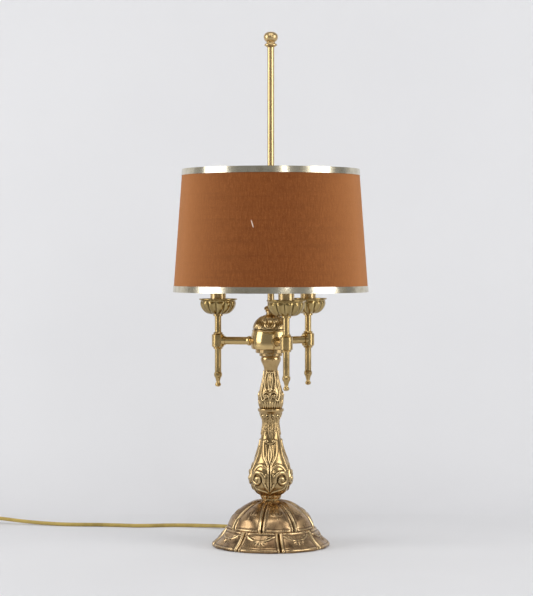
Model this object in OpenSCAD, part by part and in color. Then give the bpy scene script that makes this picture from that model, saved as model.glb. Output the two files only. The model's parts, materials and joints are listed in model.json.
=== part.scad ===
// Bouillotte table lamp: a lobed brass base, a turned and carved stem, three fixed candle arms,
// and a drum shade that slides and turns on the guide rod above them.
// Millimetres, +Z up, origin at the centre of the face that rests on the table.

/* [Base] */
// Diameter over the scalloped rim
base_d = 178; // [160:1:200]
// Height of the base casting above the table
base_h = 70.5; // [64:0.5:80]
// Height of the ledge between the two tiers of panels
tier_z = 28; // [24:0.5:32]
// Diameter of the base just below that ledge
tier_d = 135; // [128:1:142]
// Width of the ledge
tier_ledge = 0.9; // [0.5:0.1:1.5]
// Diameter of the flat crown that carries the stem
crown_d = 32; // [31:0.5:36]
// Panels round each tier
panels = 8; // [6:1:10]
// Depth of the valleys between panels at the rim
rim_valley = 3; // [1:0.1:3.4]
// Depth of the valleys under the crown
crown_valley = 0.8; // [0.3:0.1:1.2]
// Thickness of the casting
base_wall = 4.5; // [4:0.1:6]
// Angle of one valley of the lower tier
base_turn = -80; // [-90:1:-60]

/* [Base fittings] */
// Diameter of the felt pad
felt_d = 164; // [150:1:166]
// Thickness of the felt pad
felt_t = 1.5; // [1.2:0.1:2]
// Height of the brass rim above the table
rim_lift = 0.7; // [0.4:0.1:1]
// Diameter of the cast ballast disc
ballast_d = 116; // [112:1:118]
// Thickness of the ballast disc
ballast_t = 8; // [6:0.5:9]
// Across flats of the stem nuts
nut_af = 14; // [13:0.5:17]
// Thickness of a stem nut
nut_t = 3.5; // [3:0.1:5]
// Diameter of the washer under the ballast
washer_d = 30; // [24:1:36]
// Thickness of the washer
washer_t = 1.5; // [1:0.1:2]

/* [Stem] */
// Diameter of the threaded pipe through the stem
pipe_d = 10; // [9.5:0.1:10.2]
// Bore of the pipe
pipe_bore = 7; // [6:0.1:7.4]
// Height of the lower baluster
baluster_h = 140; // [125:1:155]
// Largest diameter of the baluster
baluster_d = 64.4; // [56:0.2:70]
// Neck diameter of the baluster
baluster_neck_d = 24.6; // [22:0.2:28]
// Diameter of the flange on the baluster
baluster_top_d = 40; // [37:0.5:44]
// Diameter of the baluster's foot
baluster_foot_d = 29; // [27:0.2:30.6]
// Height of the upper vase
vase_h = 80; // [70:1:90]
// Largest diameter of the vase
vase_d = 37; // [33:0.5:38]
// Neck diameter of the vase
vase_neck_d = 20.8; // [19:0.2:24]
// Diameter of the bulged collar on top of the vase
vase_collar_d = 31; // [28:0.5:34]
// Wall of the stem castings
stem_wall = 4; // [3:0.1:5]

/* [Hub] */
// Height of the two-step seat ring
seat_h = 11; // [9:0.5:14]
// Diameter of the lower step
seat_low_d = 35.4; // [33:0.2:40]
// Diameter of the upper step
seat_high_d = 47; // [44:0.5:52]
// Height of the hub bowl
bowl_h = 27; // [25:0.5:30]
// Diameter of the hub bowl
bowl_d = 61.6; // [58:0.2:66]
// Height of the hub dome
dome_h = 25; // [20:0.5:30]
// Wall of the hub shells
hub_wall = 2; // [1.6:0.1:2.4]
// Height of the arms above the bottom of the bowl
arm_up = 12.1; // [11:0.1:13]
// Across flats of the connector block in the hub
connector_af = 32; // [28:1:36]
// Height of the connector block
connector_h = 11; // [9:0.5:13]

/* [Arms] */
// Angle of the front arm
arm_turn = -74; // [-90:1:-50]
// Distance from the stem's axis to an upright
arm_reach = 84; // [74:1:94]
// Diameter of an arm tube
arm_d = 12; // [11:0.1:13]
// Bore of an arm tube
arm_bore = 8.8; // [8:0.1:9.4]
// Diameter of the collar where an arm meets the hub
arm_collar_d = 15; // [14:0.5:18]
// Length of that collar
arm_collar_l = 6; // [4:0.5:8]
// Diameter of a tee sleeve
tee_d = 19.3; // [18:0.1:22]
// Length of a tee sleeve
tee_l = 25.8; // [24:0.2:30]
// Diameter of the uprights and drop rods
upright_d = 10; // [9.6:0.1:10.6]
// Bore of the uprights
upright_bore = 7.2; // [6:0.1:7.4]
// Height of a cup's underside above the arm
cup_up = 40.4; // [36:0.2:46]
// Length of a drop rod below the tee
drop_l = 58.6; // [52:0.2:66]
// Diameter of the bead on a drop rod
drop_bead_d = 12.4; // [11.4:0.1:14]
// Diameter of the ball at the end of a drop rod
drop_ball_d = 9.8; // [8:0.1:11]

/* [Cups and candles] */
// Diameter of a cup over its rim
cup_d = 59; // [54:0.5:62]
// Height of a cup
cup_h = 24; // [21:0.5:28]
// Thickness of a cup's floor
cup_floor = 3.5; // [3:0.1:4]
// Wall of a cup
cup_wall = 1.5; // [1.2:0.1:2]
// Lobes round a cup
lobes = 12; // [10:1:14]
// Depth of the valleys between lobes
lobe_valley = 1.9; // [1:0.1:2.2]
// Diameter of a candle sleeve
sleeve_d = 24; // [23:0.1:26]
// Wall of a candle sleeve
sleeve_wall = 0.7; // [0.5:0.1:0.9]
// Length of a candle sleeve
sleeve_l = 72; // [70:1:80]
// Diameter of a bulb's screw cap
cap_d = 13.9; // [13.8:0.05:14]
// Length of a bulb's screw cap
cap_l = 25; // [23:0.5:27]
// Diameter of a bulb
bulb_d = 35; // [33:0.5:37]
// Length of a bulb's glass
bulb_l = 78; // [70:1:82]
// Thickness of the glass
glass_t = 0.9; // [0.6:0.1:1.2]

/* [Rod] */
// Diameter of the guide rod
rod_d = 10.3; // [10.1:0.1:11]
// Length of the guide rod
rod_l = 411; // [380:1:440]
// Height of the turned collar at the rod's foot
collar_h = 14; // [12:0.5:18]
// Diameter of the collar's bead
collar_d = 21.2; // [19:0.2:24]
// Diameter of the ball finial
finial_d = 22; // [18:0.5:26]
// Height of the finial above the rod's shoulder
finial_h = 24; // [20:0.5:28]

/* [Shade] */
// Height of the shade's lower edge above the table
shade_z = 389; // [386:1:394]
// Height of the shade
shade_h = 188; // [180:1:196]
// Diameter of the shade's lower edge
shade_low_d = 300; // [286:1:310]
// Diameter of the shade's upper edge
shade_high_d = 273; // [264:1:285]
// Thickness of the velvet and its card
cover_t = 1.4; // [1:0.1:2]
// Thickness of the lining
liner_t = 0.5; // [0.3:0.1:0.8]
// Height of the metallic edge trims
trim_h = 9.5; // [9:0.5:15]
// Thickness of the trims
trim_t = 0.5; // [0.3:0.1:0.8]
// Diameter of the shade's wire rings and spokes
wire_d = 3.2; // [2.6:0.1:4]
// Drop of the spider's washer below the upper ring
spider_drop = 16; // [12:0.5:19]

/* [Shade carrier] */
// Diameter of the sliding carrier
carrier_d = 22; // [20:0.5:26]
// Length of the carrier below its shoulder
carrier_l = 24; // [20:0.5:28]
// Diameter of the shoulder that the spider sits on
shoulder_d = 32; // [28:0.5:36]
// Diameter of the threaded neck through the spider
neck_d = 18; // [16:0.5:20]
// Diameter of the thumb screw
screw_d = 4; // [3:0.1:5]
// Pitch of the thumb screw
screw_pitch = 0.7; // [0.5:0.05:0.8]
// Diameter of the thumb screw's paddle
paddle_d = 16; // [12:0.5:20]
// Thickness of the paddle
paddle_t = 3; // [2:0.1:4]

/* [Cord] */
// Diameter of the mains cord
cord_d = 6; // [5:0.1:6.4]
// Angle at which the cord leaves the base
exit_turn = 77.5; // [70:0.5:85]
// Height of the cord's exit above the table
exit_z = 8; // [8:0.1:9]
// Length of the strain relief outside the base
relief_l = 24; // [20:1:26]
// Loops in the coil
coil_loops = 5.25; // [4.25:1:6.25]
// Distance between neighbouring loops
coil_pitch = 6.6; // [6.5:0.05:7]
// Outer radius of the coil along the cord's middle
coil_r = 42; // [42:0.5:43]
// Thickness of the tie round the coil
tie_t = 0.8; // [0.6:0.1:0.9]
// Width of the tie
tie_w = 8; // [5:0.5:12]

/* [Switch and plug] */
// Length of the in-line switch
switch_l = 54; // [50:1:54]
// Width of the switch
switch_w = 26; // [24:0.5:30]
// Height of the switch
switch_h = 19; // [18.6:0.1:20]
// Length of the rocker
rocker_l = 17; // [14:0.5:20]
// Width of the rocker
rocker_w = 10; // [8:0.5:12]
// Full swing of the rocker
rocker_swing = 18; // [12:1:20]
// Length of the strain reliefs on the switch and the plug
lead_relief_l = 20; // [18:1:22]
// Width of the plug
plug_w = 35.3; // [34:0.1:36]
// Thickness of the plug
plug_t = 13.7; // [13:0.1:14]
// Length of the plug's body
plug_l = 36; // [32:1:40]
// Diameter of a plug pin
pin_d = 4; // [4:0.1:4.2]
// Length of a plug pin
pin_l = 19; // [18:0.5:20]
// Distance between the plug pins
pin_gap = 18.6; // [18:0.1:19]

/* [Clearances] */
// Radial clearance where one piece slips over another
slip = 0.1; // [0.05:0.05:0.15]
// Radial clearance of a screwed joint
thread_gap = 0.05; // [0.03:0.01:0.08]
// Radial clearance of a piece that slides or turns
running_gap = 0.06; // [0.03:0.01:0.09]
// Air between faces that pass each other
air = 0.3; // [0.3:0.05:0.4]

/* [Hidden] */
$fn = 64;
EPS = 0.01;
BRASS = [0.78, 0.6, 0.3];
POLISHED = [0.85, 0.66, 0.34];
COPPERY = [0.7, 0.5, 0.33];
STEEL = [0.62, 0.63, 0.65];
PLASTIC = [0.72, 0.58, 0.28];
CORD_GOLD = [0.66, 0.54, 0.2];

// Arms: front, right, left
FRONT = 0;
RIGHT = 1;
LEFT = 2;
arm_count = 3;
function arm_angle(i) = arm_turn + i * 360 / arm_count;

// Radii
base_r = base_d / 2;
tier_r = tier_d / 2;
crown_r = crown_d / 2;
felt_r = felt_d / 2;
pipe_r = pipe_d / 2;
arm_r = arm_d / 2;
tee_r = tee_d / 2;
upright_r = upright_d / 2;
cup_r = cup_d / 2;
sleeve_r = sleeve_d / 2;
cap_r = cap_d / 2;
rod_r = rod_d / 2;
bowl_r = bowl_d / 2;
cord_r = cord_d / 2;
wire_r = wire_d / 2;
screw_r = screw_d / 2;

// Heights up the stem, each piece standing on the one below
baluster_z = base_h;
vase_z = baluster_z + baluster_h;
seat_z = vase_z + vase_h;
bowl_z = seat_z + seat_h;
dome_z = bowl_z + bowl_h;
collar_z = dome_z + dome_h;
arm_z = bowl_z + arm_up;
cup_z = arm_z + cup_up;

// Pipe, ballast and nuts under the base
ballast_top = tier_z;
washer_top = ballast_top - ballast_t;
nut_top = washer_top - washer_t;
pipe_foot = nut_top - nut_t - 1;
pipe_in_collar = collar_h / 2;
pipe_top = collar_z + pipe_in_collar;

// Rod and finial
rod_foot = pipe_top;
rod_top = rod_foot + rod_l;
finial_grip = 7;
finial_z = rod_top - finial_grip;

// Candles: everything stands on the cup's floor
candle_z = cup_z + cup_floor + slip;
holder_l = 67;
upright_top = candle_z + 4;
cap_top = candle_z + sleeve_l - 3;
cap_foot = cap_top - cap_l;

// Shade
shade_top = shade_z + shade_h;
ring_in = cover_t + liner_t + trim_t + 2 * slip;
ring_z_low = shade_z + trim_t + wire_r + slip;
ring_z_high = shade_top - trim_t - wire_r - slip;
spider_t = 2;
spider_z = ring_z_high - spider_drop;
shoulder_z = spider_z - air;
shoulder_t = 4;
nut_ring_t = 5;
nut_ring_z = spider_z + spider_t + air;
neck_top = nut_ring_z + nut_ring_t + 1;
carrier_z = shoulder_z - shoulder_t - carrier_l + 4;
screw_z = carrier_z + carrier_l / 2 - 1;
screw_turn = arm_turn + 180;
boss_end = carrier_d / 2 + 3;
screw_tip = rod_r + air;
screw_end = boss_end + 8;
// The thumb screw still has four turns to go in
head_start = boss_end + 4 * screw_pitch;

// Cord: the places of its pieces on the table
lead_relief_wide = 4.8;
relief_wide = 5;
relief_rib = 1;
relief_rib_t = 2;
relief_end = base_r + relief_l;
cord_inner_end = tier_r;
switch_near = -475;
switch_far = switch_near - switch_l;
switch_y = 242;
switch_axis = switch_h / 2;
coil_x = -600;
coil_y = switch_y - coil_r;
tail_run = 76;
coil_low = cord_r + tie_t + air / 2;
coil_high = coil_low + coil_pitch;
plug_x = coil_x - coil_r;
plug_y = coil_y - tail_run;
plug_axis = plug_t / 2;
tie_turn = -45;

exit_way = [cos(exit_turn), sin(exit_turn), 0];
exit_at = [0, 0, exit_z];

// The stretch from the base to the switch, along the middle of the cord
LEAD_ROUTE = [
    [26, 122, 7.2], [23, 138, 5.6], [8, 152, 4.4], [-16, 162, 4], [-45, 171, 4.2],
    [-75, 181, 4.5], [-104, 193, 3.8], [-132, 202, 3.2], [-162, 205, 3], [-190, 201, 3],
    [-220, 199, 3], [-250, 205, 3], [-280, 210, 3], [-310, 212, 3], [-340, 216, 3],
    [-370, 224, 3.5], [-400, 232, 4.8], [-428, 238, 7.2]
];
LINK_ROUTE = [[-560, 242, 8.6], [-573, 242, 6.2], [-585, 242, 4.5]];
TAIL_ROUTE = [[-642, 182, 10.2], [-642, 170, 9], [-642, 160, 7.8], [-642, 152, 7]];

// Helpers --------------------------------------------------------------------------------

function mix(a, b, t) = a + (b - a) * t;
function ease(t) = t * t * (3 - 2 * t);
function clamp(t, low, high) = min(max(t, low), high);

// One point of a smooth curve between b and c, with a and d beyond them
function curve_point(a, b, c, d, t) =
    (2 * b + (c - a) * t + (2 * a - 5 * b + 4 * c - d) * t * t + (3 * b - a - 3 * c + d) * t * t * t) / 2;

// A smooth curve through points, with n steps between neighbours
function smooth(points, n = 3) =
    let (last = len(points) - 1)
    concat(
        [for (i = [0 : last - 1], k = [0 : n - 1])
            curve_point(points[max(i - 1, 0)], points[i], points[i + 1], points[min(i + 2, last)], k / n)],
        [points[last]]
    );

// Turned piece: a profile of [radius, height] closed to the axis
module turned(profile) {
    last = len(profile) - 1;
    rotate_extrude()
        polygon(concat([[0, profile[0].y]], profile, [[0, profile[last].y]]));
}

// Closed skin through rings that have the same number of points
module loft(rings) {
    n = len(rings[0]);
    m = len(rings);
    points = [for (ring = rings) each ring];
    sides = [for (j = [0 : m - 2], i = [0 : n - 1])
        let (a = j * n + i, b = j * n + (i + 1) % n)
        each [[a, a + n, b], [b, a + n, b + n]]];
    bottom = [for (i = [0 : n - 1]) i];
    top = [for (i = [n - 1 : -1 : 0]) (m - 1) * n + i];
    polyhedron(points, concat([bottom], sides, [top]));
}

// Ring of a tube at point p, square to way
function tube_ring(p, way, r, sides) =
    let (
        t = way / norm(way),
        side = cross(t, [0, 0, 1]) / norm(cross(t, [0, 0, 1])),
        up = cross(side, t)
    )
    [for (k = [0 : sides - 1])
        let (a = (k + 0.5) * 360 / sides)
        p + r * (cos(a) * side + sin(a) * up)];

// Tube of radius r along a path
module tube(path, r, sides) {
    last = len(path) - 1;
    loft([for (i = [0 : last])
        tube_ring(path[i], path[min(i + 1, last)] - path[max(i - 1, 0)], r, sides)]);
}

// Straight round bar from a to b
module bar(a, b, r) {
    v = b - a;
    translate(a)
        rotate([0, acos(v.z / norm(v)), atan2(v.y, v.x)])
            cylinder(h = norm(v), r = r);
}

// Places its children at the hub, with +X along arm i
module on_arm(i) {
    rotate([0, 0, arm_angle(i)])
        children();
}

// Places its children on the axis of upright i
module on_upright(i) {
    on_arm(i)
        translate([arm_reach, 0, 0])
            children();
}

module bore(r, z0, z1) {
    translate([0, 0, z0])
        cylinder(h = z1 - z0, r = r);
}

// Round bar along +X from x0 to x1
module bar_x(r, x0, x1) {
    translate([x0, 0, 0])
        rotate([0, 90, 0])
            cylinder(h = x1 - x0, r = r);
}

// Base -----------------------------------------------------------------------------------

// Radius of the base over its panels, as share of the flare or of the dome
LOWER_FLARE = [[0, 0.98], [0.05, 1], [0.11, 0.99], [0.2, 0.9], [0.31, 0.735], [0.45, 0.545],
    [0.63, 0.345], [0.83, 0.17], [1, 0.04]];
UPPER_DOME = [[0, 1], [0.12, 0.985], [0.26, 0.925], [0.4, 0.85], [0.54, 0.735], [0.67, 0.605],
    [0.79, 0.46], [0.89, 0.295], [0.96, 0.13], [1, 0]];
ledge_drop = 0.6;
rim_round = 0.3;
rim_flat_r = felt_r + 2;

function lower_z(s) = mix(rim_lift + rim_round, tier_z - ledge_drop, s);
function upper_z(s) = mix(tier_z, base_h, s);
function lower_r(s) = mix(tier_r, base_r, lookup(s, LOWER_FLARE));
function upper_r(s) = mix(crown_r, tier_r - tier_ledge, lookup(s, UPPER_DOME));

// Radius over the panels at height z
function crest_r(z) = z < tier_z
    ? lower_r((z - lower_z(0)) / (lower_z(1) - lower_z(0)))
    : upper_r((z - tier_z) / (base_h - tier_z));

// Angles round the base: close together at the valleys of both tiers
half_panel = 180 / panels;
COLUMN_STEPS = [0, 0.075, 0.21, 0.5, 0.79, 0.925];
columns = [for (k = [0 : 2 * panels - 1], s = COLUMN_STEPS) (k + s) * half_panel];

// Share of the valley's depth at an angle that is far from its middle by part of half a panel
function valley(far) = lookup(far, [[0, 1], [0.075, 0.45], [0.21, 0.12], [0.5, 0.02], [1, 0]]);
function from_valley(angle) = abs((angle / half_panel + 1) % 2 - 1);
function lower_valley(angle) = valley(from_valley(angle));
function upper_valley(angle) = valley(from_valley(angle + half_panel));

function base_ring(r, z, depth, shares) =
    [for (i = [0 : len(columns) - 1])
        let (rho = r - depth * shares[i], a = columns[i] + base_turn)
        [rho * cos(a), rho * sin(a), z]];

lower_shares = [for (a = columns) lower_valley(a)];
upper_shares = [for (a = columns) upper_valley(a)];
base_rings = concat(
    [base_ring(rim_flat_r, rim_lift, 0, lower_shares)],
    [for (p = LOWER_FLARE)
        base_ring(lower_r(p[0]), lower_z(p[0]), mix(rim_valley, rim_valley / 2, p[0]), lower_shares)],
    [for (p = UPPER_DOME)
        base_ring(upper_r(p[0]), upper_z(p[0]), mix(rim_valley * 0.65, crown_valley, p[0])
            * (p[0] < 1 ? 1 : 0), upper_shares)]
);

crown_t = 2.6;
crown_depth = 5.5;
lip_w = 6;
lip_t = 1.2;
ballast_seat_w = 6;
ballast_seat_t = 3;
function cavity_r(z) = crest_r(z + crown_t) - base_wall;
// The strain relief's rib lies behind the casting's wall
relief_start = cavity_r(exit_z + relief_wide + relief_rib) - relief_rib_t - air;

module base_cavity() {
    lip_z = felt_t + slip;
    seat_top = ballast_top + ballast_seat_t;
    top_z = base_h - crown_depth;
    low = [for (k = [0 : 6]) let (z = mix(lip_z + lip_t, ballast_top, k / 6)) [cavity_r(z), z]];
    high = [for (k = [0 : 7]) let (z = mix(seat_top, top_z, k / 7)) [cavity_r(z), z]];
    turned(concat(
        [[felt_r + air, -1], [felt_r + air, lip_z], [felt_r - lip_w, lip_z],
            [felt_r - lip_w, lip_z + lip_t]],
        low,
        [[ballast_d / 2 - ballast_seat_w, ballast_top], [ballast_d / 2 - ballast_seat_w, seat_top]],
        high
    ));
}

module base_casting() {
    color(COPPERY)
        difference() {
            loft(base_rings);
            base_cavity();
            bore(pipe_r + slip, 0, base_h + 1);
            // A bore at 45 degrees round its own axis, so that its seam stays off the panel's middle
            rotate([0, 0, exit_turn])
                translate([0, 0, exit_z])
                    rotate([45, 0, 0])
                        bar_x(relief_wide + slip, tier_r, base_r + 5);
        }
}

module felt_pad() {
    color([0.25, 0.3, 0.22])
        cylinder(h = felt_t, r = felt_r);
}

module ballast_disc() {
    color([0.3, 0.3, 0.3])
        difference() {
            bore(ballast_d / 2, washer_top, ballast_top);
            bore(pipe_r + slip, washer_top - 1, ballast_top + 1);
        }
}

module stem_washer() {
    color(STEEL)
        difference() {
            bore(washer_d / 2, nut_top, washer_top);
            bore(pipe_r + slip, nut_top - 1, washer_top + 1);
        }
}

module hex_nut(z) {
    difference() {
        translate([0, 0, z])
            cylinder(h = nut_t, r = nut_af / sqrt(3), $fn = 6);
        bore(pipe_r + thread_gap, z - 1, z + nut_t + 1);
    }
}

// One nut under the ballast and one on the floor of the hub
module stem_nuts() {
    color(STEEL) {
        hex_nut(nut_top - nut_t);
        hex_nut(bowl_z + bowl_floor);
    }
}

// Stem -----------------------------------------------------------------------------------

module stem_pipe() {
    color(STEEL)
        difference() {
            bore(pipe_r, pipe_foot, pipe_top);
            bore(pipe_bore / 2, pipe_foot - 1, pipe_top + 1);
            rotate([0, 0, screw_turn])
                translate([0, 0, arm_z])
                    bar_x(3.2, 0, pipe_r + 1);
        }
}

// Baluster: outline of [radius, height], from the foot to the flange
baluster_belly = baluster_d / 2;
baluster_neck = baluster_neck_d / 2;
baluster_foot = baluster_foot_d / 2;
baluster_top = baluster_top_d / 2;
flange_t = 4;
flange_edge = 0.7;
BELLY_RISE = [[0.057, 0.22], [0.085, 0.55], [0.125, 0.77], [0.17, 0.925], [0.22, 0.99], [0.265, 1],
    [0.32, 0.97], [0.375, 0.84], [0.43, 0.69], [0.48, 0.53], [0.53, 0.4], [0.58, 0.29],
    [0.64, 0.19], [0.7, 0.13], [0.76, 0.07], [0.82, 0.01], [0.86, 0.01]];

function belly_r(share) = mix(baluster_neck, baluster_belly, share);
baluster_outline = smooth(concat(
    [[baluster_foot, 0], [baluster_foot, 0.02 * baluster_h]],
    [for (p = BELLY_RISE) [belly_r(p[1]), p[0] * baluster_h]],
    [[mix(baluster_neck, baluster_top, 0.2), 0.9 * baluster_h],
        [mix(baluster_neck, baluster_top, 0.55), 0.94 * baluster_h]]
), 2);

module lower_baluster() {
    flange_z = baluster_h - flange_t;
    hollow = smooth([
        [pipe_r + 1, 0.1 * baluster_h], [belly_r(0.6) - stem_wall, 0.14 * baluster_h],
        [baluster_belly - stem_wall, 0.26 * baluster_h], [belly_r(0.5) - stem_wall, 0.47 * baluster_h],
        [belly_r(0.1) - stem_wall, 0.72 * baluster_h], [pipe_r + 1, 0.8 * baluster_h]
    ]);
    color(BRASS)
        translate([0, 0, baluster_z])
            difference() {
                turned(concat(baluster_outline, [
                    [baluster_top - flange_edge, flange_z], [baluster_top, flange_z + flange_edge],
                    [baluster_top, baluster_h - flange_edge], [baluster_top - flange_edge, baluster_h]
                ]));
                turned(hollow);
                bore(pipe_r + slip, -1, baluster_h + 1);
            }
}

// Vase: outline of [radius, height]
vase_belly = vase_d / 2;
vase_neck = vase_neck_d / 2;
vase_collar = vase_collar_d / 2;
vase_outline = smooth([
    [mix(vase_neck, vase_belly, 0.62), 0], [mix(vase_neck, vase_belly, 0.85), 0.04 * vase_h],
    [vase_belly, 0.11 * vase_h], [vase_belly, 0.21 * vase_h],
    [mix(vase_neck, vase_belly, 0.86), 0.3 * vase_h], [mix(vase_neck, vase_belly, 0.6), 0.4 * vase_h],
    [mix(vase_neck, vase_belly, 0.34), 0.5 * vase_h], [mix(vase_neck, vase_belly, 0.13), 0.61 * vase_h],
    [vase_neck, 0.7 * vase_h], [mix(vase_neck, vase_collar, 0.1), 0.78 * vase_h],
    [mix(vase_neck, vase_collar, 0.55), 0.85 * vase_h], [mix(vase_neck, vase_collar, 0.93), 0.91 * vase_h],
    [vase_collar, 0.955 * vase_h], [mix(vase_neck, vase_collar, 0.7), vase_h]
]);

module upper_vase() {
    hollow = smooth([
        [pipe_r + 1, 0.06 * vase_h], [vase_belly - stem_wall, 0.14 * vase_h],
        [mix(vase_neck, vase_belly, 0.75) - stem_wall, 0.34 * vase_h],
        [pipe_r + 1, 0.55 * vase_h]
    ]);
    color(BRASS)
        translate([0, 0, vase_z])
            difference() {
                turned(vase_outline);
                turned(hollow);
                bore(pipe_r + slip, -1, vase_h + 1);
            }
}

// Hub ------------------------------------------------------------------------------------

bowl_floor = 2.5;
seat_step = seat_h * 0.46;

module seat_ring() {
    low_r = seat_low_d / 2;
    high_r = seat_high_d / 2;
    color(BRASS)
        translate([0, 0, seat_z])
            difference() {
                turned([
                    [low_r - 1, 0], [low_r, 0.8], [low_r, seat_step - 1], [low_r + 1, seat_step],
                    [high_r - 0.8, seat_step], [high_r, seat_step + 0.8], [high_r, seat_h - 1],
                    [high_r - 1, seat_h]
                ]);
                bore(pipe_r + slip, -1, seat_h + 1);
            }
}

// Bowl outline as [radius inside the full radius, share of the height]
bowl_outline = [
    [bowl_r - 2, 0], [bowl_r - 0.6, 0.04 * bowl_h], [bowl_r, 0.2 * bowl_h], [bowl_r, 0.42 * bowl_h],
    [bowl_r - 0.4, 0.62 * bowl_h], [bowl_r - 1.2, 0.82 * bowl_h], [bowl_r - 2.4, bowl_h]
];

module hub_bowl() {
    color(POLISHED)
        difference() {
            translate([0, 0, bowl_z])
                difference() {
                    turned(smooth(bowl_outline, 2));
                    turned([
                        [bowl_r - hub_wall - 1.6, bowl_floor], [bowl_r - hub_wall - 0.4, 0.25 * bowl_h],
                        [bowl_r - hub_wall - 0.4, 0.5 * bowl_h], [bowl_r - hub_wall - 2.4, bowl_h + 1]
                    ]);
                    bore(pipe_r + slip, -1, bowl_floor + 1);
                }
            for (i = [FRONT : LEFT])
                on_arm(i)
                    translate([0, 0, arm_z])
                        bar_x(arm_r + slip, bowl_r - hub_wall - 6, bowl_r + 2);
        }
}

module hub_dome() {
    r = bowl_r - 2.4;
    top_r = 9.4;
    color(POLISHED)
        translate([0, 0, dome_z])
            difference() {
                turned(concat(
                    [[r, 0], [r + 0.6, 0.8], [r + 0.5, 2.1], [r - 0.9, 2.7]],
                    smooth([[r - 1.1, 3.2], [r - 2.2, 0.34 * dome_h], [r - 4.6, 0.55 * dome_h],
                        [r - 9.2, 0.76 * dome_h], [r - 14.5, 0.9 * dome_h], [top_r, dome_h]], 3)
                ));
                turned(smooth([[r - hub_wall, -1], [r - hub_wall - 1.6, 0.25 * dome_h],
                    [r - hub_wall - 5.6, 0.5 * dome_h], [r - hub_wall - 12, 0.72 * dome_h],
                    [pipe_r + 1, dome_h - hub_wall - 0.6]], 3));
                bore(pipe_r + slip, 0, dome_h + 1);
            }
}

// Hexagonal block round the pipe, with one flat towards each arm
module connector_block() {
    color([0.9, 0.9, 0.86])
        difference() {
            rotate([0, 0, arm_turn + 30])
                translate([0, 0, arm_z - connector_h / 2])
                    cylinder(h = connector_h, r = connector_af / sqrt(3), $fn = 6);
            bore(pipe_r + air, arm_z - connector_h, arm_z + connector_h);
        }
}

// Quarter bend in the XZ plane round the origin, from the +X side up to the top
module elbow(bend, r) {
    rotate([90, 0, 0])
        rotate_extrude(angle = 90)
            translate([bend, 0])
                circle(r);
}

feed_r = 2.2;
core_r = 1.8;
feed_bend = 6;
core_bend = 6;

// The feed from the cord's inner end up the pipe, and a pair of cores out through each arm
module wiring() {
    rise = exit_z + feed_bend;
    turn_z = arm_z - core_bend;
    color([0.5, 0.32, 0.16]) {
        rotate([0, 0, exit_turn])
            union() {
                translate([0, 0, exit_z])
                    bar_x(feed_r, feed_bend, cord_inner_end);
                translate([feed_bend, 0, rise])
                    rotate([0, 180, 0])
                        elbow(feed_bend, feed_r);
            }
        bore(feed_r, rise, arm_z);
        for (i = [FRONT : LEFT])
            on_arm(i)
                union() {
                    translate([0, 0, arm_z])
                        bar_x(core_r, connector_af / 2, arm_reach - core_bend);
                    translate([arm_reach - core_bend, 0, arm_z + core_bend])
                        rotate([0, 90, 0])
                            elbow(core_bend, core_r);
                    translate([arm_reach, 0, 0])
                        bore(core_r, arm_z + core_bend, upright_top + slip);
                }
    }
}

// Arms -----------------------------------------------------------------------------------

arm_start = bowl_r - hub_wall - 2;
tee_socket = 5.6;

module arm_tube(i) {
    color(BRASS)
        on_arm(i)
            translate([0, 0, arm_z])
                difference() {
                    bar_x(arm_r, arm_start, arm_reach - tee_socket);
                    bar_x(arm_bore / 2, arm_start - 1, arm_reach);
                }
}

module arm_collars() {
    r = arm_collar_d / 2;
    color(POLISHED)
        for (i = [FRONT : LEFT])
            on_arm(i)
                translate([bowl_r + air, 0, arm_z])
                    rotate([0, 90, 0])
                        difference() {
                            turned([[r - 1.4, 0], [r, 1.4], [r, arm_collar_l - 2.2],
                                [arm_r + 0.6, arm_collar_l]]);
                            bore(arm_r + slip, -1, arm_collar_l + 1);
                        }
}

module tee(i) {
    h = tee_l / 2;
    neck = upright_r + 1.9;
    tee_outline = [
        [neck - 0.2, -h], [neck + 0.4, -h + 0.8], [neck, -h + 1.7], [tee_r, -h + 3.9],
        [tee_r, h - 3.9], [neck, h - 2.2], [neck + 0.4, h - 1], [neck - 0.2, h]
    ];
    color(BRASS)
        on_upright(i)
            translate([0, 0, arm_z])
                difference() {
                    union() {
                        turned(tee_outline);
                        bar_x(arm_r + 1.4, -tee_r - 2, 0);
                    }
                    bar_x(arm_r + slip, -tee_r - 3, -tee_socket + slip);
                    bar_x(arm_bore / 2, -tee_socket - 1, 0);
                    bore(arm_bore / 2, -5, 5);
                    bore(upright_r + thread_gap, 4.6, h + 1);
                    bore(upright_r + thread_gap, -h - 1, -4.6);
                }
}

// Threaded tubes from the tees to the lampholders, each with the shoulder that carries its cup
module uprights() {
    shoulder = upright_r + 2.4;
    foot = arm_z + 4.8;
    color(BRASS)
        for (i = [FRONT : LEFT])
            on_upright(i)
                difference() {
                    union() {
                        bore(upright_r, foot, upright_top);
                        translate([0, 0, cup_z - 3])
                            turned([[shoulder - 1.2, 0], [shoulder, 1], [shoulder, 3]]);
                    }
                    bore(upright_bore / 2, foot - 1, upright_top + 1);
                }
}

// Rod below the tee with its turned tip
module drop_rod(i) {
    tee_bottom = tee_l / 2;
    bead = drop_bead_d / 2;
    ball = drop_ball_d / 2;
    r = upright_r;
    len_z = tee_bottom + drop_l;
    profile = [
        [0.6, -len_z], [ball * 0.72, -len_z + 1], [ball, -len_z + 3.2], [ball * 0.8, -len_z + 5.4],
        [3.1, -len_z + 6.6], [2.9, -len_z + 8.2], [3.5, -len_z + 11], [4.5, -len_z + 14.2],
        [bead - 0.7, -len_z + 15.6], [bead, -len_z + 17.6], [bead, -len_z + 20.6],
        [bead - 0.8, -len_z + 22.2], [r, -len_z + 23], [r, -4.8]
    ];
    color(BRASS)
        on_upright(i)
            translate([0, 0, arm_z])
                turned(profile);
}

// Cups and candles -----------------------------------------------------------------------

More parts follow.
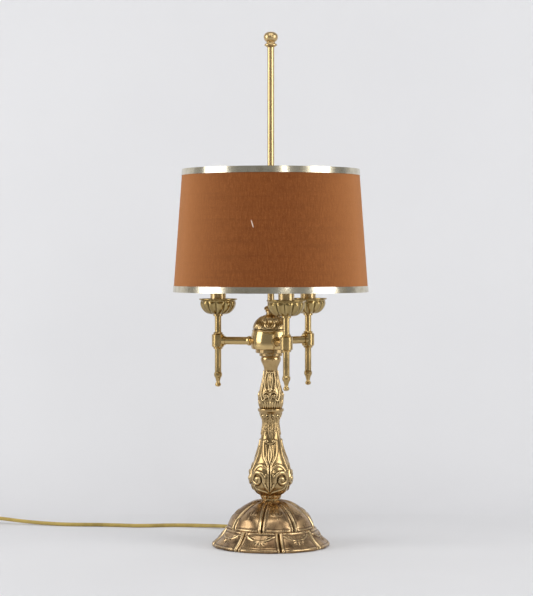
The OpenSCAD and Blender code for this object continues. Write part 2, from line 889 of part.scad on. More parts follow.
// Cup outline: [share of the radius below the rim, share of the height, share of the valley]
CUP_SIDE = [[0.31, 0, 0], [0.56, 0.06, 0.25], [0.74, 0.22, 0.7], [0.87, 0.45, 1], [0.925, 0.68, 1],
    [0.91, 0.84, 0.35], [0.93, 0.9, 0]];
LOBE_STEPS = [0, 0.12, 0.34, 0.66, 0.88];
lobe_turn = 8;
lobe_angle = 360 / lobes;
lobe_columns = [for (k = [0 : lobes - 1], s = LOBE_STEPS) (k + s) * lobe_angle + lobe_turn];
lobe_shares = [for (k = [0 : lobes - 1], s = LOBE_STEPS)
    lookup(min(s, 1 - s), [[0, 1], [0.12, 0.42], [0.34, 0.04], [0.5, 0]])];
rim_t = 1.4;
rim_inside = cup_r - 3;

function cup_ring(r, z, depth) =
    [for (i = [0 : len(lobe_columns) - 1])
        let (rho = r - depth * lobe_shares[i], a = lobe_columns[i])
        [rho * cos(a), rho * sin(a), z]];

cup_rings = concat(
    [for (p = CUP_SIDE) cup_ring(cup_r * p[0], cup_h * p[1], lobe_valley * p[2])],
    [cup_ring(cup_r, cup_h - rim_t, 0), cup_ring(cup_r, cup_h, 0), cup_ring(rim_inside, cup_h, 0),
        cup_ring(cup_r * 0.85 - cup_wall, cup_h * 0.72, 0),
        cup_ring(cup_r * 0.68 - cup_wall, cup_h * 0.34, 0),
        cup_ring(sleeve_r + 1, cup_floor, 0)]
);

module cup(i) {
    color(BRASS)
        on_upright(i)
            translate([0, 0, cup_z])
                difference() {
                    loft(cup_rings);
                    bore(upright_r + slip, -1, cup_floor + 1);
                }
}

module candle_sleeve(i) {
    color(POLISHED)
        on_upright(i)
            difference() {
                bore(sleeve_r, candle_z, candle_z + sleeve_l);
                bore(sleeve_r - sleeve_wall, candle_z - 1, candle_z + sleeve_l + 1);
            }
}

module lampholders() {
    r = sleeve_r - sleeve_wall - air;
    waist = r * 0.77;
    color([0.2, 0.2, 0.2])
        for (i = [FRONT : LEFT])
            on_upright(i)
                translate([0, 0, candle_z])
                    difference() {
                        turned([[r, 0], [r, 2], [waist, 3], [waist, holder_l * 0.3],
                            [r, holder_l * 0.36], [r, holder_l]]);
                        bore(upright_r + thread_gap, -1, upright_top - candle_z + slip);
                        bore(cap_r + slip, cap_foot - candle_z - slip, holder_l + 1);
                    }
}

module bulb_caps() {
    color([0.75, 0.68, 0.45])
        for (i = [FRONT : LEFT])
            on_upright(i)
                translate([0, 0, cap_foot])
                    turned([[2.6, 0], [3, 1], [cap_r - 1.5, 4], [cap_r, 5.5], [cap_r, cap_l]]);
}

module bulb(i) {
    r = bulb_d / 2;
    outside = smooth([
        [cap_r, 0], [r * 0.5, 0.04 * bulb_l], [r * 0.7, 0.115 * bulb_l], [r * 0.89, 0.22 * bulb_l],
        [r * 0.985, 0.33 * bulb_l], [r, 0.41 * bulb_l], [r * 0.94, 0.54 * bulb_l],
        [r * 0.78, 0.68 * bulb_l], [r * 0.55, 0.81 * bulb_l], [r * 0.3, 0.92 * bulb_l],
        [r * 0.09, bulb_l]
    ], 2);
    inside = [for (p = outside) if (p.x > 2.5) [p.x - glass_t, p.y < EPS ? -1 : p.y - glass_t / 2]];
    color([0.95, 0.93, 0.86, 0.5])
        on_upright(i)
            translate([0, 0, cap_top])
                difference() {
                    turned(outside);
                    turned(inside);
                }
}

// Rod ------------------------------------------------------------------------------------

module rod_collar() {
    r = collar_d / 2;
    neck = rod_r + 1.9;
    color(BRASS)
        translate([0, 0, collar_z])
            difference() {
                turned([
                    [neck + 1.6, 0], [neck + 0.3, 0.08 * collar_h], [neck, 0.2 * collar_h],
                    [neck, 0.3 * collar_h], [neck + 1.4, 0.36 * collar_h],
                    [neck + 1.4, 0.44 * collar_h], [neck + 0.6, 0.49 * collar_h],
                    [r - 0.9, 0.56 * collar_h], [r, 0.66 * collar_h], [r - 0.4, 0.8 * collar_h],
                    [r - 2, 0.92 * collar_h], [rod_r + 1.2, collar_h]
                ]);
                bore(pipe_r + thread_gap, -1, pipe_in_collar);
                bore(rod_r + thread_gap, pipe_in_collar - EPS, collar_h + 1);
            }
}

module guide_rod() {
    color(POLISHED)
        bore(rod_r, rod_foot, rod_top);
}

module rod_finial() {
    r = finial_d / 2;
    flange = r * 0.886;
    waist = r * 0.59;
    color(POLISHED)
        translate([0, 0, finial_z])
            difference() {
                turned(concat(
                    [[rod_r + 0.6, 0], [flange, 0.125 * finial_h], [flange, 0.17 * finial_h],
                        [flange - 0.6, 0.21 * finial_h], [waist + 0.4, 0.25 * finial_h],
                        [waist, 0.32 * finial_h]],
                    smooth([[waist + 0.6, 0.36 * finial_h], [r * 0.86, 0.45 * finial_h],
                        [r, 0.64 * finial_h], [r * 0.88, 0.84 * finial_h], [r * 0.5, 0.965 * finial_h],
                        [0.4, finial_h]], 3)
                ));
                bore(rod_r + thread_gap, -1, finial_grip + EPS);
            }
}

// Shade ----------------------------------------------------------------------------------

// Outer radius of the shade at height z
function shade_r(z) = mix(shade_low_d / 2, shade_high_d / 2, (z - shade_z) / shade_h);

// Conical band between two heights and two depths below the shade's outer face
module band(z0, z1, out, in) {
    rotate_extrude($fn = 96)
        polygon([[shade_r(z0) - in, z0], [shade_r(z0) - out, z0], [shade_r(z1) - out, z1],
            [shade_r(z1) - in, z1]]);
}

module shade_cover() {
    color([0.68, 0.33, 0.12])
        band(shade_z + trim_t + slip, shade_top - trim_t - slip, trim_t + slip, trim_t + cover_t);
}

module shade_liner() {
    color([0.9, 0.85, 0.72])
        band(shade_z + trim_t + slip, shade_top - trim_t - slip, trim_t + cover_t + slip,
            trim_t + cover_t + slip + liner_t);
}

// Ribbon folded over an edge: outside face, edge, and a turned-in hem
module trim(edge_z, way) {
    hem = trim_h / 2;
    depth = 2 * trim_t + cover_t + liner_t + 3 * slip;
    z_out = edge_z + way * trim_h;
    z_in = edge_z + way * hem;
    z_fold = edge_z + way * trim_t;
    rotate_extrude($fn = 96)
        polygon([
            [shade_r(edge_z), edge_z], [shade_r(z_out), z_out], [shade_r(z_out) - trim_t, z_out],
            [shade_r(z_fold) - trim_t, z_fold], [shade_r(z_fold) - depth + trim_t, z_fold],
            [shade_r(z_in) - depth + trim_t, z_in], [shade_r(z_in) - depth, z_in],
            [shade_r(edge_z) - depth, edge_z]
        ]);
}

module shade_trim_top() {
    color([0.8, 0.74, 0.6])
        trim(shade_top, -1);
}

module shade_trim_bottom() {
    color([0.8, 0.74, 0.6])
        trim(shade_z, 1);
}

hem_in = 2 * trim_t + cover_t + liner_t + 3 * slip;
function ring_mid(z) = shade_r(z) - hem_in - slip - wire_r - 0.3;

module wire_ring(z) {
    translate([0, 0, z])
        rotate_extrude($fn = 96)
            translate([ring_mid(z), 0])
                circle(wire_r, $fn = 24);
}

module shade_ring_bottom() {
    color(BRASS)
        wire_ring(ring_z_low);
}

spokes = 3;
spoke_turn = arm_turn + 60;

module shade_spider() {
    washer_r = shoulder_d / 2 + 3;
    color(BRASS)
        difference() {
            union() {
                wire_ring(ring_z_high);
                bore(washer_r, spider_z, spider_z + spider_t);
                for (k = [0 : spokes - 1])
                    rotate([0, 0, spoke_turn + k * 360 / spokes])
                        bar([washer_r - 3.5, 0, spider_z + spider_t + wire_r - 0.8],
                            [ring_mid(ring_z_high) - 0.5, 0, ring_z_high], wire_r);
            }
            bore(neck_d / 2 + running_gap, spider_z - 1, spider_z + spider_t + 9);
        }
}

// Shade carrier --------------------------------------------------------------------------

module shade_carrier() {
    r = carrier_d / 2;
    body_top = shoulder_z - shoulder_t;
    color(POLISHED)
        difference() {
            union() {
                turned([
                    [r - 1, carrier_z], [r, carrier_z + 1], [r, body_top - 3],
                    [shoulder_d / 2, body_top + 1], [shoulder_d / 2, shoulder_z],
                    [neck_d / 2, shoulder_z], [neck_d / 2, neck_top]
                ]);
                rotate([0, 0, screw_turn])
                    translate([0, 0, screw_z])
                        bar_x(screw_r + 3, 0, boss_end);
            }
            bore(rod_r + running_gap, carrier_z - 1, neck_top + 1);
            rotate([0, 0, screw_turn])
                translate([0, 0, screw_z])
                    bar_x(screw_r + running_gap, 0, boss_end + 1);
        }
}

module carrier_nut() {
    r = shoulder_d / 2 - 2;
    color(POLISHED)
        difference() {
            translate([0, 0, nut_ring_z])
                turned([[r - 0.6, 0], [r, 0.6], [r, nut_ring_t - 1.2], [r - 1.2, nut_ring_t]]);
            bore(neck_d / 2 + thread_gap, nut_ring_z - 1, nut_ring_z + nut_ring_t + 1);
        }
}

module thumb_shank() {
    color(STEEL)
        rotate([0, 0, screw_turn])
            translate([0, 0, screw_z])
                bar_x(screw_r, screw_tip, screw_end);
}

module thumb_head() {
    neck = screw_r + 1.8;
    grip = screw_end - head_start;
    paddle = paddle_d / 2;
    paddle_x = head_start + grip + paddle - 1;
    color(POLISHED)
        rotate([0, 0, screw_turn])
            translate([0, 0, screw_z])
                difference() {
                    union() {
                        bar_x(neck, head_start, paddle_x);
                        translate([paddle_x, paddle_t / 2, 0])
                            rotate([90, 0, 0])
                                cylinder(h = paddle_t, r = paddle);
                    }
                    bar_x(screw_r + running_gap, head_start - 1, screw_end + air);
                }
}

// Cord -----------------------------------------------------------------------------------

module cord_relief() {
    color(PLASTIC)
        rotate([0, 0, exit_turn])
            translate([relief_start, 0, exit_z])
                rotate([0, 90, 0])
                    difference() {
                        turned([
                            [relief_wide + relief_rib, 0], [relief_wide + relief_rib, relief_rib_t],
                            [relief_wide, relief_rib_t],
                            [relief_wide, base_r - relief_start],
                            [cord_r + 0.8, relief_end - relief_start]
                        ]);
                        bore(cord_r + slip, -1, relief_end - relief_start + 1);
                    }
}

lead_path = concat(
    [for (s = [cord_inner_end, relief_start + 8, relief_end - 12, relief_end]) exit_at + s * exit_way],
    smooth(LEAD_ROUTE, 2),
    [[switch_near + lead_relief_l + 10, switch_y - 0.6, switch_axis - 0.7],
        [switch_near + lead_relief_l, switch_y, switch_axis], [switch_near, switch_y, switch_axis]]
);

link_path = concat(
    [[switch_far, switch_y, switch_axis], [switch_far - lead_relief_l, switch_y, switch_axis]],
    LINK_ROUTE,
    [[coil_x + 2 * cord_d, switch_y, coil_low], [coil_x + cord_d, switch_y, coil_low]]
);

// Middle of the cord in the coil after t loops: in along the table, then out again on top
coil_turn = coil_loops / 2;
climb = 0.25;
function coil_point(t) =
    let (
        r = coil_r - coil_pitch * min(t, coil_loops - t),
        a = 90 + 360 * t,
        lift = ease(clamp((t - coil_turn + climb) / (2 * climb), 0, 1))
    )
    [coil_x + r * cos(a), coil_y + r * sin(a), mix(coil_low, coil_high, lift)];

loop_rings = 24;
coil_steps = round(coil_loops * loop_rings);
coil_middle = [for (k = [0 : coil_steps]) coil_point(k / loop_rings)];
coil_end_way = [cos(180 + 360 * coil_loops), sin(180 + 360 * coil_loops), 0];
coil_path = concat(
    [[coil_x + cord_d, switch_y, coil_low]],
    coil_middle,
    [coil_middle[coil_steps] + cord_d * coil_end_way]
);

function path_length(p, i = 0, sum = 0) =
    i >= len(p) - 1 ? sum : path_length(p, i + 1, sum + norm(p[i + 1] - p[i]));

// Least gap of the coil to itself, between points half a loop or more apart
coil_gap = min([for (i = [0 : coil_steps - loop_rings / 2], j = [i + loop_rings / 2 : coil_steps])
    norm(coil_middle[j] - coil_middle[i])]) - cord_d;

tail_path = concat(
    [coil_path[coil_steps + 2], coil_path[coil_steps + 2] + cord_d * coil_end_way],
    TAIL_ROUTE,
    [[plug_x, plug_y + lead_relief_l, plug_axis], [plug_x, plug_y, plug_axis]]
);

cord_total = path_length(lead_path) + switch_l + path_length(link_path) + path_length(coil_path)
    + path_length(tail_path);
echo(coil_gap_mm = coil_gap, cord_length_mm = cord_total);

module cord_lead() {
    color(CORD_GOLD)
        tube(lead_path, cord_r, 10);
}

module cord_link() {
    color(CORD_GOLD)
        tube(link_path, cord_r, 10);
}

module cord_coil() {
    color(CORD_GOLD)
        tube(coil_path, cord_r, 6);
}

module cord_tail() {
    color(CORD_GOLD)
        tube(tail_path, cord_r, 10);
}

// Tapered relief along +X from its wide end, with the cord's bore
module lead_relief() {
    rotate([0, 90, 0])
        difference() {
            turned([[lead_relief_wide, 0], [lead_relief_wide, 2], [cord_r + 0.7, lead_relief_l]]);
            bore(cord_r + slip, -1, lead_relief_l + 1);
        }
}

module switch_reliefs() {
    color(PLASTIC) {
        translate([switch_near, switch_y, switch_axis])
            lead_relief();
        translate([switch_far, switch_y, switch_axis])
            rotate([0, 0, 180])
                lead_relief();
    }
}

// Flat strap closed round the turns, where the coil comes nearest to the table's edge
module cord_tie() {
    outer = coil_r + cord_r + air;
    inner = coil_r - coil_turn * coil_pitch - cord_r - air;
    bottom = coil_low - cord_r - air / 2;
    top = coil_high + cord_r + air / 2;
    color(CORD_GOLD)
        translate([coil_x, coil_y, 0])
            rotate([0, 0, tie_turn])
                translate([0, tie_w / 2, 0])
                    rotate([90, 0, 0])
                        linear_extrude(tie_w)
                            difference() {
                                translate([inner - tie_t, bottom - tie_t])
                                    square([outer - inner + 2 * tie_t, top - bottom + 2 * tie_t]);
                                translate([inner, bottom])
                                    square([outer - inner, top - bottom]);
                            }
}

// Outline of a long box with flat noses and rounded shoulders, centred on the switch
nose = lead_relief_wide + 0.6;
function box_outline(l, w) =
    let (r = w / 2 - nose, n = 5)
    concat(
        [for (k = [0 : n]) let (a = 90 * k / n) [l / 2 - r + r * cos(a), nose + r * sin(a)]],
        [for (k = [0 : n]) let (a = 90 + 90 * k / n) [-l / 2 + r + r * cos(a), nose + r * sin(a)]],
        [for (k = [0 : n]) let (a = 180 + 90 * k / n) [-l / 2 + r + r * cos(a), -nose + r * sin(a)]],
        [for (k = [0 : n]) let (a = 270 + 90 * k / n) [l / 2 - r + r * cos(a), -nose + r * sin(a)]]
    );

switch_mid = (switch_near + switch_far) / 2;
rocker_z = switch_h - 3.5;
rocker_pin = 1.2;
seam = 0.1;

module on_switch(z) {
    translate([switch_mid, switch_y, z])
        children();
}

module cord_switch_base() {
    color(PLASTIC)
        on_switch(0)
            linear_extrude(switch_axis - seam)
                polygon(box_outline(switch_l, switch_w));
}

module cord_switch_cover() {
    color(PLASTIC)
        difference() {
            on_switch(0)
                union() {
                    translate([0, 0, switch_axis])
                        linear_extrude(switch_h - switch_axis - 1.5)
                            polygon(box_outline(switch_l, switch_w));
                    translate([0, 0, switch_h - 1.5 - EPS])
                        linear_extrude(1.5 + EPS)
                            polygon(box_outline(switch_l - 3, switch_w - 3));
                }
            on_switch(switch_h - 6)
                translate([-rocker_l / 2 - air, -rocker_w / 2 - air, 0])
                    cube([rocker_l + 2 * air, rocker_w + 2 * air, 7]);
            on_switch(rocker_z)
                rotate([90, 0, 0])
                    translate([0, 0, -rocker_w / 2 - 2])
                        cylinder(h = rocker_w + 4, r = rocker_pin + running_gap);
        }
}

module cord_rocker() {
    half = rocker_l / 2 - 0.6;
    tip = half * tan(rocker_swing / 2) + 0.6;
    color([0.86, 0.8, 0.62])
        on_switch(rocker_z)
            rotate([90, -rocker_swing / 2, 0]) {
                translate([0, 0, -rocker_w / 2 + air])
                    linear_extrude(rocker_w - 2 * air)
                        polygon([[-half, 2.2 + tip], [-half * 0.5, 2.1 + tip * 0.3], [0, 2.1],
                            [half * 0.5, 2.1 + tip * 0.3], [half, 2.2 + tip], [half, 1.4],
                            [2, -1.8], [-2, -1.8], [-half, 1.4]]);
                translate([0, 0, -rocker_w / 2 - 1.4])
                    cylinder(h = rocker_w + 2.8, r = rocker_pin);
            }
}

// Plug: the pins point along -Y
function plug_outline() =
    let (w = plug_w / 2, l = plug_l, back = lead_relief_wide + 1.4, n = 6)
    concat(
        [[back, 0]],
        [for (k = [0 : n]) let (a = 90 - 90 * k / n) [w - 6 + 6 * cos(a), -l * 0.45 + 6 * sin(a)]],
        [[w, -l * 0.8], [w - 7, -l], [-w + 7, -l], [-w, -l * 0.8]],
        [for (k = [0 : n]) let (a = 180 - 90 * k / n) [-w + 6 + 6 * cos(a), -l * 0.45 + 6 * sin(a)]],
        [[-back, 0]]
    );

pin_root = 9;
pin_root_d = pin_d * 0.75;

module plug_body() {
    color(PLASTIC)
        translate([plug_x, plug_y, 0])
            difference() {
                union() {
                    linear_extrude(plug_t)
                        polygon(plug_outline());
                    translate([0, 0, plug_axis])
                        rotate([0, 0, 90])
                            lead_relief();
                }
                for (side = [-1, 1])
                    translate([side * pin_gap / 2, -plug_l - 1, plug_axis])
                        rotate([-90, 0, 0])
                            cylinder(h = pin_root + 2, r = pin_root_d / 2 + thread_gap);
            }
}

// Each pin has a thinner root inside the plug
module plug_pins() {
    color(POLISHED)
        for (side = [-1, 1])
            translate([plug_x + side * pin_gap / 2, plug_y - plug_l - pin_l, plug_axis])
                rotate([-90, 0, 0]) {
                    cylinder(h = pin_l - air, r = pin_d / 2);
                    cylinder(h = pin_l + pin_root, r = pin_root_d / 2);
                }
}

felt_pad();
base_casting();
ballast_disc();
stem_washer();
stem_nuts();
stem_pipe();
lower_baluster();
upper_vase();
seat_ring();
hub_bowl();
hub_dome();
connector_block();
wiring();
rod_collar();
guide_rod();
rod_finial();
arm_collars();
arm_tube(FRONT);  // arm_front
arm_tube(RIGHT);  // arm_right
arm_tube(LEFT);  // arm_left
tee(FRONT);  // tee_front
tee(RIGHT);  // tee_right
tee(LEFT);  // tee_left
uprights();
drop_rod(FRONT);  // drop_front
drop_rod(RIGHT);  // drop_right
drop_rod(LEFT);  // drop_left
cup(FRONT);  // cup_front
cup(RIGHT);  // cup_right
cup(LEFT);  // cup_left
candle_sleeve(FRONT);  // candle_front
candle_sleeve(RIGHT);  // candle_right
candle_sleeve(LEFT);  // candle_left
lampholders();
bulb_caps();
bulb(FRONT);  // bulb_front
bulb(RIGHT);  // bulb_right
bulb(LEFT);  // bulb_left
shade_cover();
shade_liner();
shade_trim_top();
shade_trim_bottom();
shade_ring_bottom();
shade_spider();
shade_carrier();
carrier_nut();
thumb_shank();
thumb_head();
cord_relief();
cord_lead();
cord_switch_base();
cord_switch_cover();
cord_rocker();
switch_reliefs();
cord_link();
cord_coil();
cord_tie();
cord_tail();
plug_body();
plug_pins();
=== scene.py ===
"""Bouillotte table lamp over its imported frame: carved brass, a velvet drum shade and its mains cord.

Outlines are in millimetres and become metres when their mesh is made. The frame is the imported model's:
+Z up, the origin under the stem, the photograph's camera on the -Y side.
"""

import json
import logging
import math
from dataclasses import dataclass
from enum import Enum
from typing import Callable, Optional, Sequence, Union

import bmesh
import bpy
import numpy as np
from mathutils import Matrix, Vector


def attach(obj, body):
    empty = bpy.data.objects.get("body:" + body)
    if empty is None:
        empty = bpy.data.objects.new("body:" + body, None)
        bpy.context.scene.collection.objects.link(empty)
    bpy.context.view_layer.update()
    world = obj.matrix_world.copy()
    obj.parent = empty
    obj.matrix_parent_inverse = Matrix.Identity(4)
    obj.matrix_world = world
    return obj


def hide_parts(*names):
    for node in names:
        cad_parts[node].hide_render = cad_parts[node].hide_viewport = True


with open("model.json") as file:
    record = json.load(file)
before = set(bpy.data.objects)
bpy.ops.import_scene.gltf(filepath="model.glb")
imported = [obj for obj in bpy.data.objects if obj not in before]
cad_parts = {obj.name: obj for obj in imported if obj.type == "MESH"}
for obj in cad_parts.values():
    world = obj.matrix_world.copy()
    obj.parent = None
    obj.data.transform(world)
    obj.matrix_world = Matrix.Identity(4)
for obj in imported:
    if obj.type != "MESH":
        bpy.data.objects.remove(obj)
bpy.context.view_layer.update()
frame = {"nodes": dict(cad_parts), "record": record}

LOG = logging.getLogger("lamp")
MM = 0.001
Outline = Sequence[tuple[float, float]]
Colour = tuple[float, float, float]
Feed = Union[bpy.types.NodeSocket, float, Sequence[float]]


# Shared geometry ------------------------------------------------------------------------------


def flow(points: Sequence[Sequence[float]], steps: int = 4) -> list[tuple[float, ...]]:
    """Runs a smooth curve through points.

    Args:
        points: the points that it passes, all of one length.
        steps: steps between neighbouring points.

    Returns:
        The points of the curve, the given ones among them.
    """
    p = [np.array(q, float) for q in points]
    last = len(p) - 1
    out: list[tuple[float, ...]] = []
    for i in range(last):
        a, b, c, d = p[max(i - 1, 0)], p[i], p[i + 1], p[min(i + 2, last)]
        for k in range(steps):
            t = k / steps
            out.append(
                tuple(
                    (
                        2 * b
                        + (c - a) * t
                        + (2 * a - 5 * b + 4 * c - d) * t * t
                        + (3 * b - a - 3 * c + d) * t**3
                    )
                    / 2
                )
            )
    return out + [tuple(p[last])]


def turn_about(steps: int, outline: Outline, closed: bool = False) -> bmesh.types.BMesh:
    """Turns an outline in millimetres about the stem's axis.

    Args:
        steps: columns round the piece.
        outline: (radius, height) pairs.
        closed: joins the last point to the first, for a piece with a bore.

    Returns:
        A closed mesh in metres, with its faces outwards.
    """
    bm = bmesh.new()
    ring = [bm.verts.new((r * MM, 0, z * MM)) for r, z in outline]
    pairs = list(zip(ring, ring[1:])) + ([(ring[-1], ring[0])] if closed else [])
    edges = [bm.edges.new(pair) for pair in pairs]
    bmesh.ops.spin(
        bm, geom=ring + edges, cent=(0, 0, 0), axis=(0, 0, 1), angle=math.tau, steps=steps, use_merge=True
    )
    bmesh.ops.remove_doubles(bm, verts=bm.verts[:], dist=2e-6)
    bmesh.ops.recalc_face_normals(bm, faces=bm.faces[:])
    return bm


@dataclass
class Placement:
    """Where a finished piece belongs: what it rides on, what it stands for and what it is made of."""

    body: str
    slot: str
    material: bpy.types.Material
    replaces: tuple[str, ...] = ()


def set_out(
    name: str, bm: bmesh.types.BMesh, place: Placement, sharp: float, proud: Optional[np.ndarray] = None
) -> bpy.types.Object:
    """Makes a piece of a mesh, and sets it on its body.

    Args:
        name: the piece's name.
        bm: its mesh, which is freed.
        place: its body, slot, material and the CAD nodes that it stands for.
        sharp: angle in degrees from which an edge stays sharp.
        proud: how far each vertex lies above its surroundings, for a carved piece.

    Returns:
        The piece, at the origin.
    """
    mesh = bpy.data.meshes.new(name)
    bm.to_mesh(mesh)
    bm.free()
    mesh.polygons.foreach_set("use_smooth", [True] * len(mesh.polygons))
    mesh.set_sharp_from_angle(angle=math.radians(sharp))
    mesh.materials.append(place.material)
    if proud is not None:
        layer = mesh.attributes.new("proud", "FLOAT", "POINT")
        layer.data.foreach_set("value", proud.astype(np.float32))
    piece = bpy.data.objects.new(name, mesh)
    bpy.context.scene.collection.objects.link(piece)
    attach(piece, place.body)
    if place.replaces:
        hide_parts(*place.replaces)
    LOG.info("%s: %d faces on %s", name, len(mesh.polygons), place.body)
    return piece


# Carving --------------------------------------------------------------------------------------


class Skin:
    """A turned outline at even steps, with its run along the surface and its outward directions."""

    def __init__(self, outline: Outline, step: float) -> None:
        """Spreads points evenly along an outline, in millimetres."""
        raw = np.array(outline, float)
        run = np.concatenate([[0], np.cumsum(np.hypot(*np.diff(raw, axis=0).T))])
        self.run = np.linspace(0, run[-1], max(int(run[-1] / step), 2) + 1)
        self.r = np.interp(self.run, run, raw[:, 0])
        self.z = np.interp(self.run, run, raw[:, 1])
        way = np.stack([np.gradient(self.r, self.run), np.gradient(self.z, self.run)])
        way /= np.maximum(np.hypot(*way), 1e-9)
        side = 1 if self.z[0] < self.z[-1] else -1
        self.out_r, self.out_z = side * way[1], -side * way[0]

    def points(self) -> list[tuple[float, float]]:
        """The outline's points as (radius, height)."""
        return list(zip(self.r.tolist(), self.z.tolist()))

    def run_at(self, z: float) -> float:
        """The run at a height, for an outline that only rises or only falls."""
        order = np.argsort(self.z)
        return float(np.interp(z, self.z[order], self.run[order]))

    def nearest(self, r: np.ndarray, z: np.ndarray) -> np.ndarray:
        """Index of the outline's nearest point for each (radius, height)."""
        found = np.empty(len(r), int)
        for start in range(0, len(r), 4096):
            part = slice(start, start + 4096)
            gap = (r[part, None] - self.r) ** 2 + (z[part, None] - self.z) ** 2
            found[part] = gap.argmin(1)
        return found


@dataclass(frozen=True)
class Stroke:
    """A raised or cut line of a carving.

    Attributes:
        middle: (degrees from the repeat's centre, height) points along it.
        widths: half widths in millimetres, spread evenly along it.
        height: its crest in millimetres, below zero for a cut.
    """

    middle: tuple[tuple[float, float], ...]
    widths: tuple[float, ...]
    height: float


def volute(
    centre: tuple[float, float], size: float, radius: float, turns: float, start: float, height: float,
    width: float, way: int = -1,
) -> Stroke:
    """Draws a scroll that winds in to its eye.

    Args:
        centre: (degrees, height) of the eye.
        size: outer radius of the scroll in millimetres.
        radius: radius of the turned piece there, in millimetres.
        turns: turns from the outside to the eye.
        start: angle of its outer end in degrees.
        height: height of its crest.
        width: half width of the line at its outer end.
        way: -1 winds clockwise, 1 anticlockwise.

    Returns:
        The scroll as a stroke.
    """
    points = []
    count = int(turns * 14) + 1
    for k in range(count):
        t = k / (count - 1)
        rho = size * (1 - t) ** 0.8 + size * 0.1 * t
        a = math.radians(start + way * 360 * turns * t)
        points.append((centre[0] + math.degrees(rho * math.cos(a) / radius), centre[1] + rho * math.sin(a)))
    return Stroke(tuple(points), (width, width * 0.95, width * 0.8, width * 0.6), height)


def swell(along: np.ndarray, middle: float, width: float, height: float) -> np.ndarray:
    """A smooth ridge of a height, or a groove below zero, across a distance."""
    return height * np.exp(-(((along - middle) / width) ** 2))


class Carving:
    """The relief of one mirrored half repeat, kept as heights over degrees and run."""

    CELL = 0.3

    def __init__(self, skin: Skin, repeats: int, centre: float, low: float, high: float) -> None:
        """Lays out an empty relief.

        Args:
            skin: the turned outline that carries it.
            repeats: repeats round the piece.
            centre: azimuth of one repeat's centre line in degrees.
            low: run of one end of the carving.
            high: run of its other end.
        """
        self.skin, self.centre, self.low, self.high = skin, centre, low, high
        self.span = 180 / repeats
        inside = (skin.run >= low) & (skin.run <= high)
        columns = int(math.radians(self.span) * skin.r[inside].max() / self.CELL) + 2
        self.turn = np.linspace(0, self.span, columns)
        self.run = np.linspace(low, high, int((high - low) / self.CELL) + 2)
        self.radius = np.interp(self.run, skin.run, skin.r)
        self.field = np.zeros((len(self.run), columns))

    def stroke(self, line: Stroke, by_height: bool = True) -> None:
        """Works one stroke into the relief.

        Args:
            line: the stroke.
            by_height: its points give heights, and not runs.
        """
        middle = flow([(a, self.skin.run_at(h) if by_height else h) for a, h in line.middle], 10)
        widths = np.interp(
            np.linspace(0, 1, len(middle)), np.linspace(0, 1, len(line.widths)), line.widths
        )
        ridge = np.zeros_like(self.field)
        for (a, run), half in zip(middle, widths):
            if not self.low - half < run < self.high + half:
                continue
            rows = slice(*np.searchsorted(self.run, [run - half, run + half]))
            reach = math.degrees(half / np.interp(run, self.run, self.radius))
            columns = slice(*np.searchsorted(self.turn, [a - reach, a + reach]))
            across = np.radians(self.turn[columns] - a)[None, :] * self.radius[rows, None]
            far = (across**2 + (self.run[rows, None] - run) ** 2) / half**2
            ridge[rows, columns] = np.maximum(ridge[rows, columns], np.sqrt(np.clip(1 - far, 0, 1)))
        if line.height > 0:
            self.field = np.maximum(self.field, ridge * line.height)
        else:
            self.field = self.field + ridge * line.height

    def lens(
        self, turn: float, low: float, high: float, half: float, height: float, vein: float = 0.0
    ) -> None:
        """Works in an upright leaf with a pointed foot and tip.

        Args:
            turn: degrees from the repeat's centre.
            low: height of its foot.
            high: height of its tip.
            half: its greatest half width.
            height: its crest.
            vein: depth of the line cut down its middle, or 0 for none.
        """
        up = [low + (high - low) * k / 6 for k in range(7)]
        widths = (0.25, half * 0.62, half * 0.95, half, half * 0.85, half * 0.5, 0.25)
        self.stroke(Stroke(tuple((turn, z) for z in up), widths, height))
        if vein:
            inner = tuple((turn, z) for z in up[1:-1])
            self.stroke(Stroke(inner, (0.35, 0.55, 0.35), -vein))

    def bead(self, turn: float, up: float, radius: float, height: float) -> None:
        """Works in a round boss at (degrees, height)."""
        self.stroke(Stroke(((turn, up), (turn, up + 0.02)), (radius,), height))

    def add(self, shape: Callable[[np.ndarray, np.ndarray], np.ndarray]) -> None:
        """Adds a shape of (millimetres from the repeat's edge, run) to the relief."""
        edge = np.radians(self.span - self.turn)[None, :] * self.radius[:, None]
        self.field = self.field + shape(edge, self.run[:, None] + 0 * edge)

    @staticmethod
    def blurred(grid: np.ndarray, reach: int) -> np.ndarray:
        """The grid's running mean over reach cells each way, mirrored at its edges."""
        for axis in (0, 1):
            pad = [(reach, reach) if k == axis else (0, 0) for k in (0, 1)]
            total = np.cumsum(np.pad(grid, pad, mode="reflect"), axis=axis)
            ends = np.take(total, range(2 * reach, total.shape[axis]), axis=axis)
            starts = np.take(total, range(0, total.shape[axis] - 2 * reach), axis=axis)
            grid = (ends - starts) / (2 * reach)
        return grid

    def sample(self, turn: np.ndarray, run: np.ndarray) -> tuple[np.ndarray, np.ndarray]:
        """Heights, and how far each point lies above its surroundings, at degrees and runs."""
        soft = self.blurred(self.field, 1)
        proud = np.clip((soft - self.blurred(soft, 6)) / 0.55, -1, 1)
        folded = np.mod(turn - self.centre, 2 * self.span)
        folded = np.minimum(folded, 2 * self.span - folded)
        x = np.clip(folded / self.span * (len(self.turn) - 1), 0, len(self.turn) - 1.001)
        y = np.clip((run - self.low) / (self.high - self.low), 0, 1) * (len(self.run) - 1.001)
        i, j = y.astype(int), x.astype(int)
        u, v = y - i, x - j
        inside = (run >= self.low) & (run <= self.high)

        def read(grid: np.ndarray) -> np.ndarray:
            """The grid between its four nearest cells."""
            near = grid[i, j] * (1 - v) + grid[i, j + 1] * v
            far = grid[i + 1, j] * (1 - v) + grid[i + 1, j + 1] * v
            return np.where(inside, near * (1 - u) + far * u, 0)

        return read(soft), read(proud)


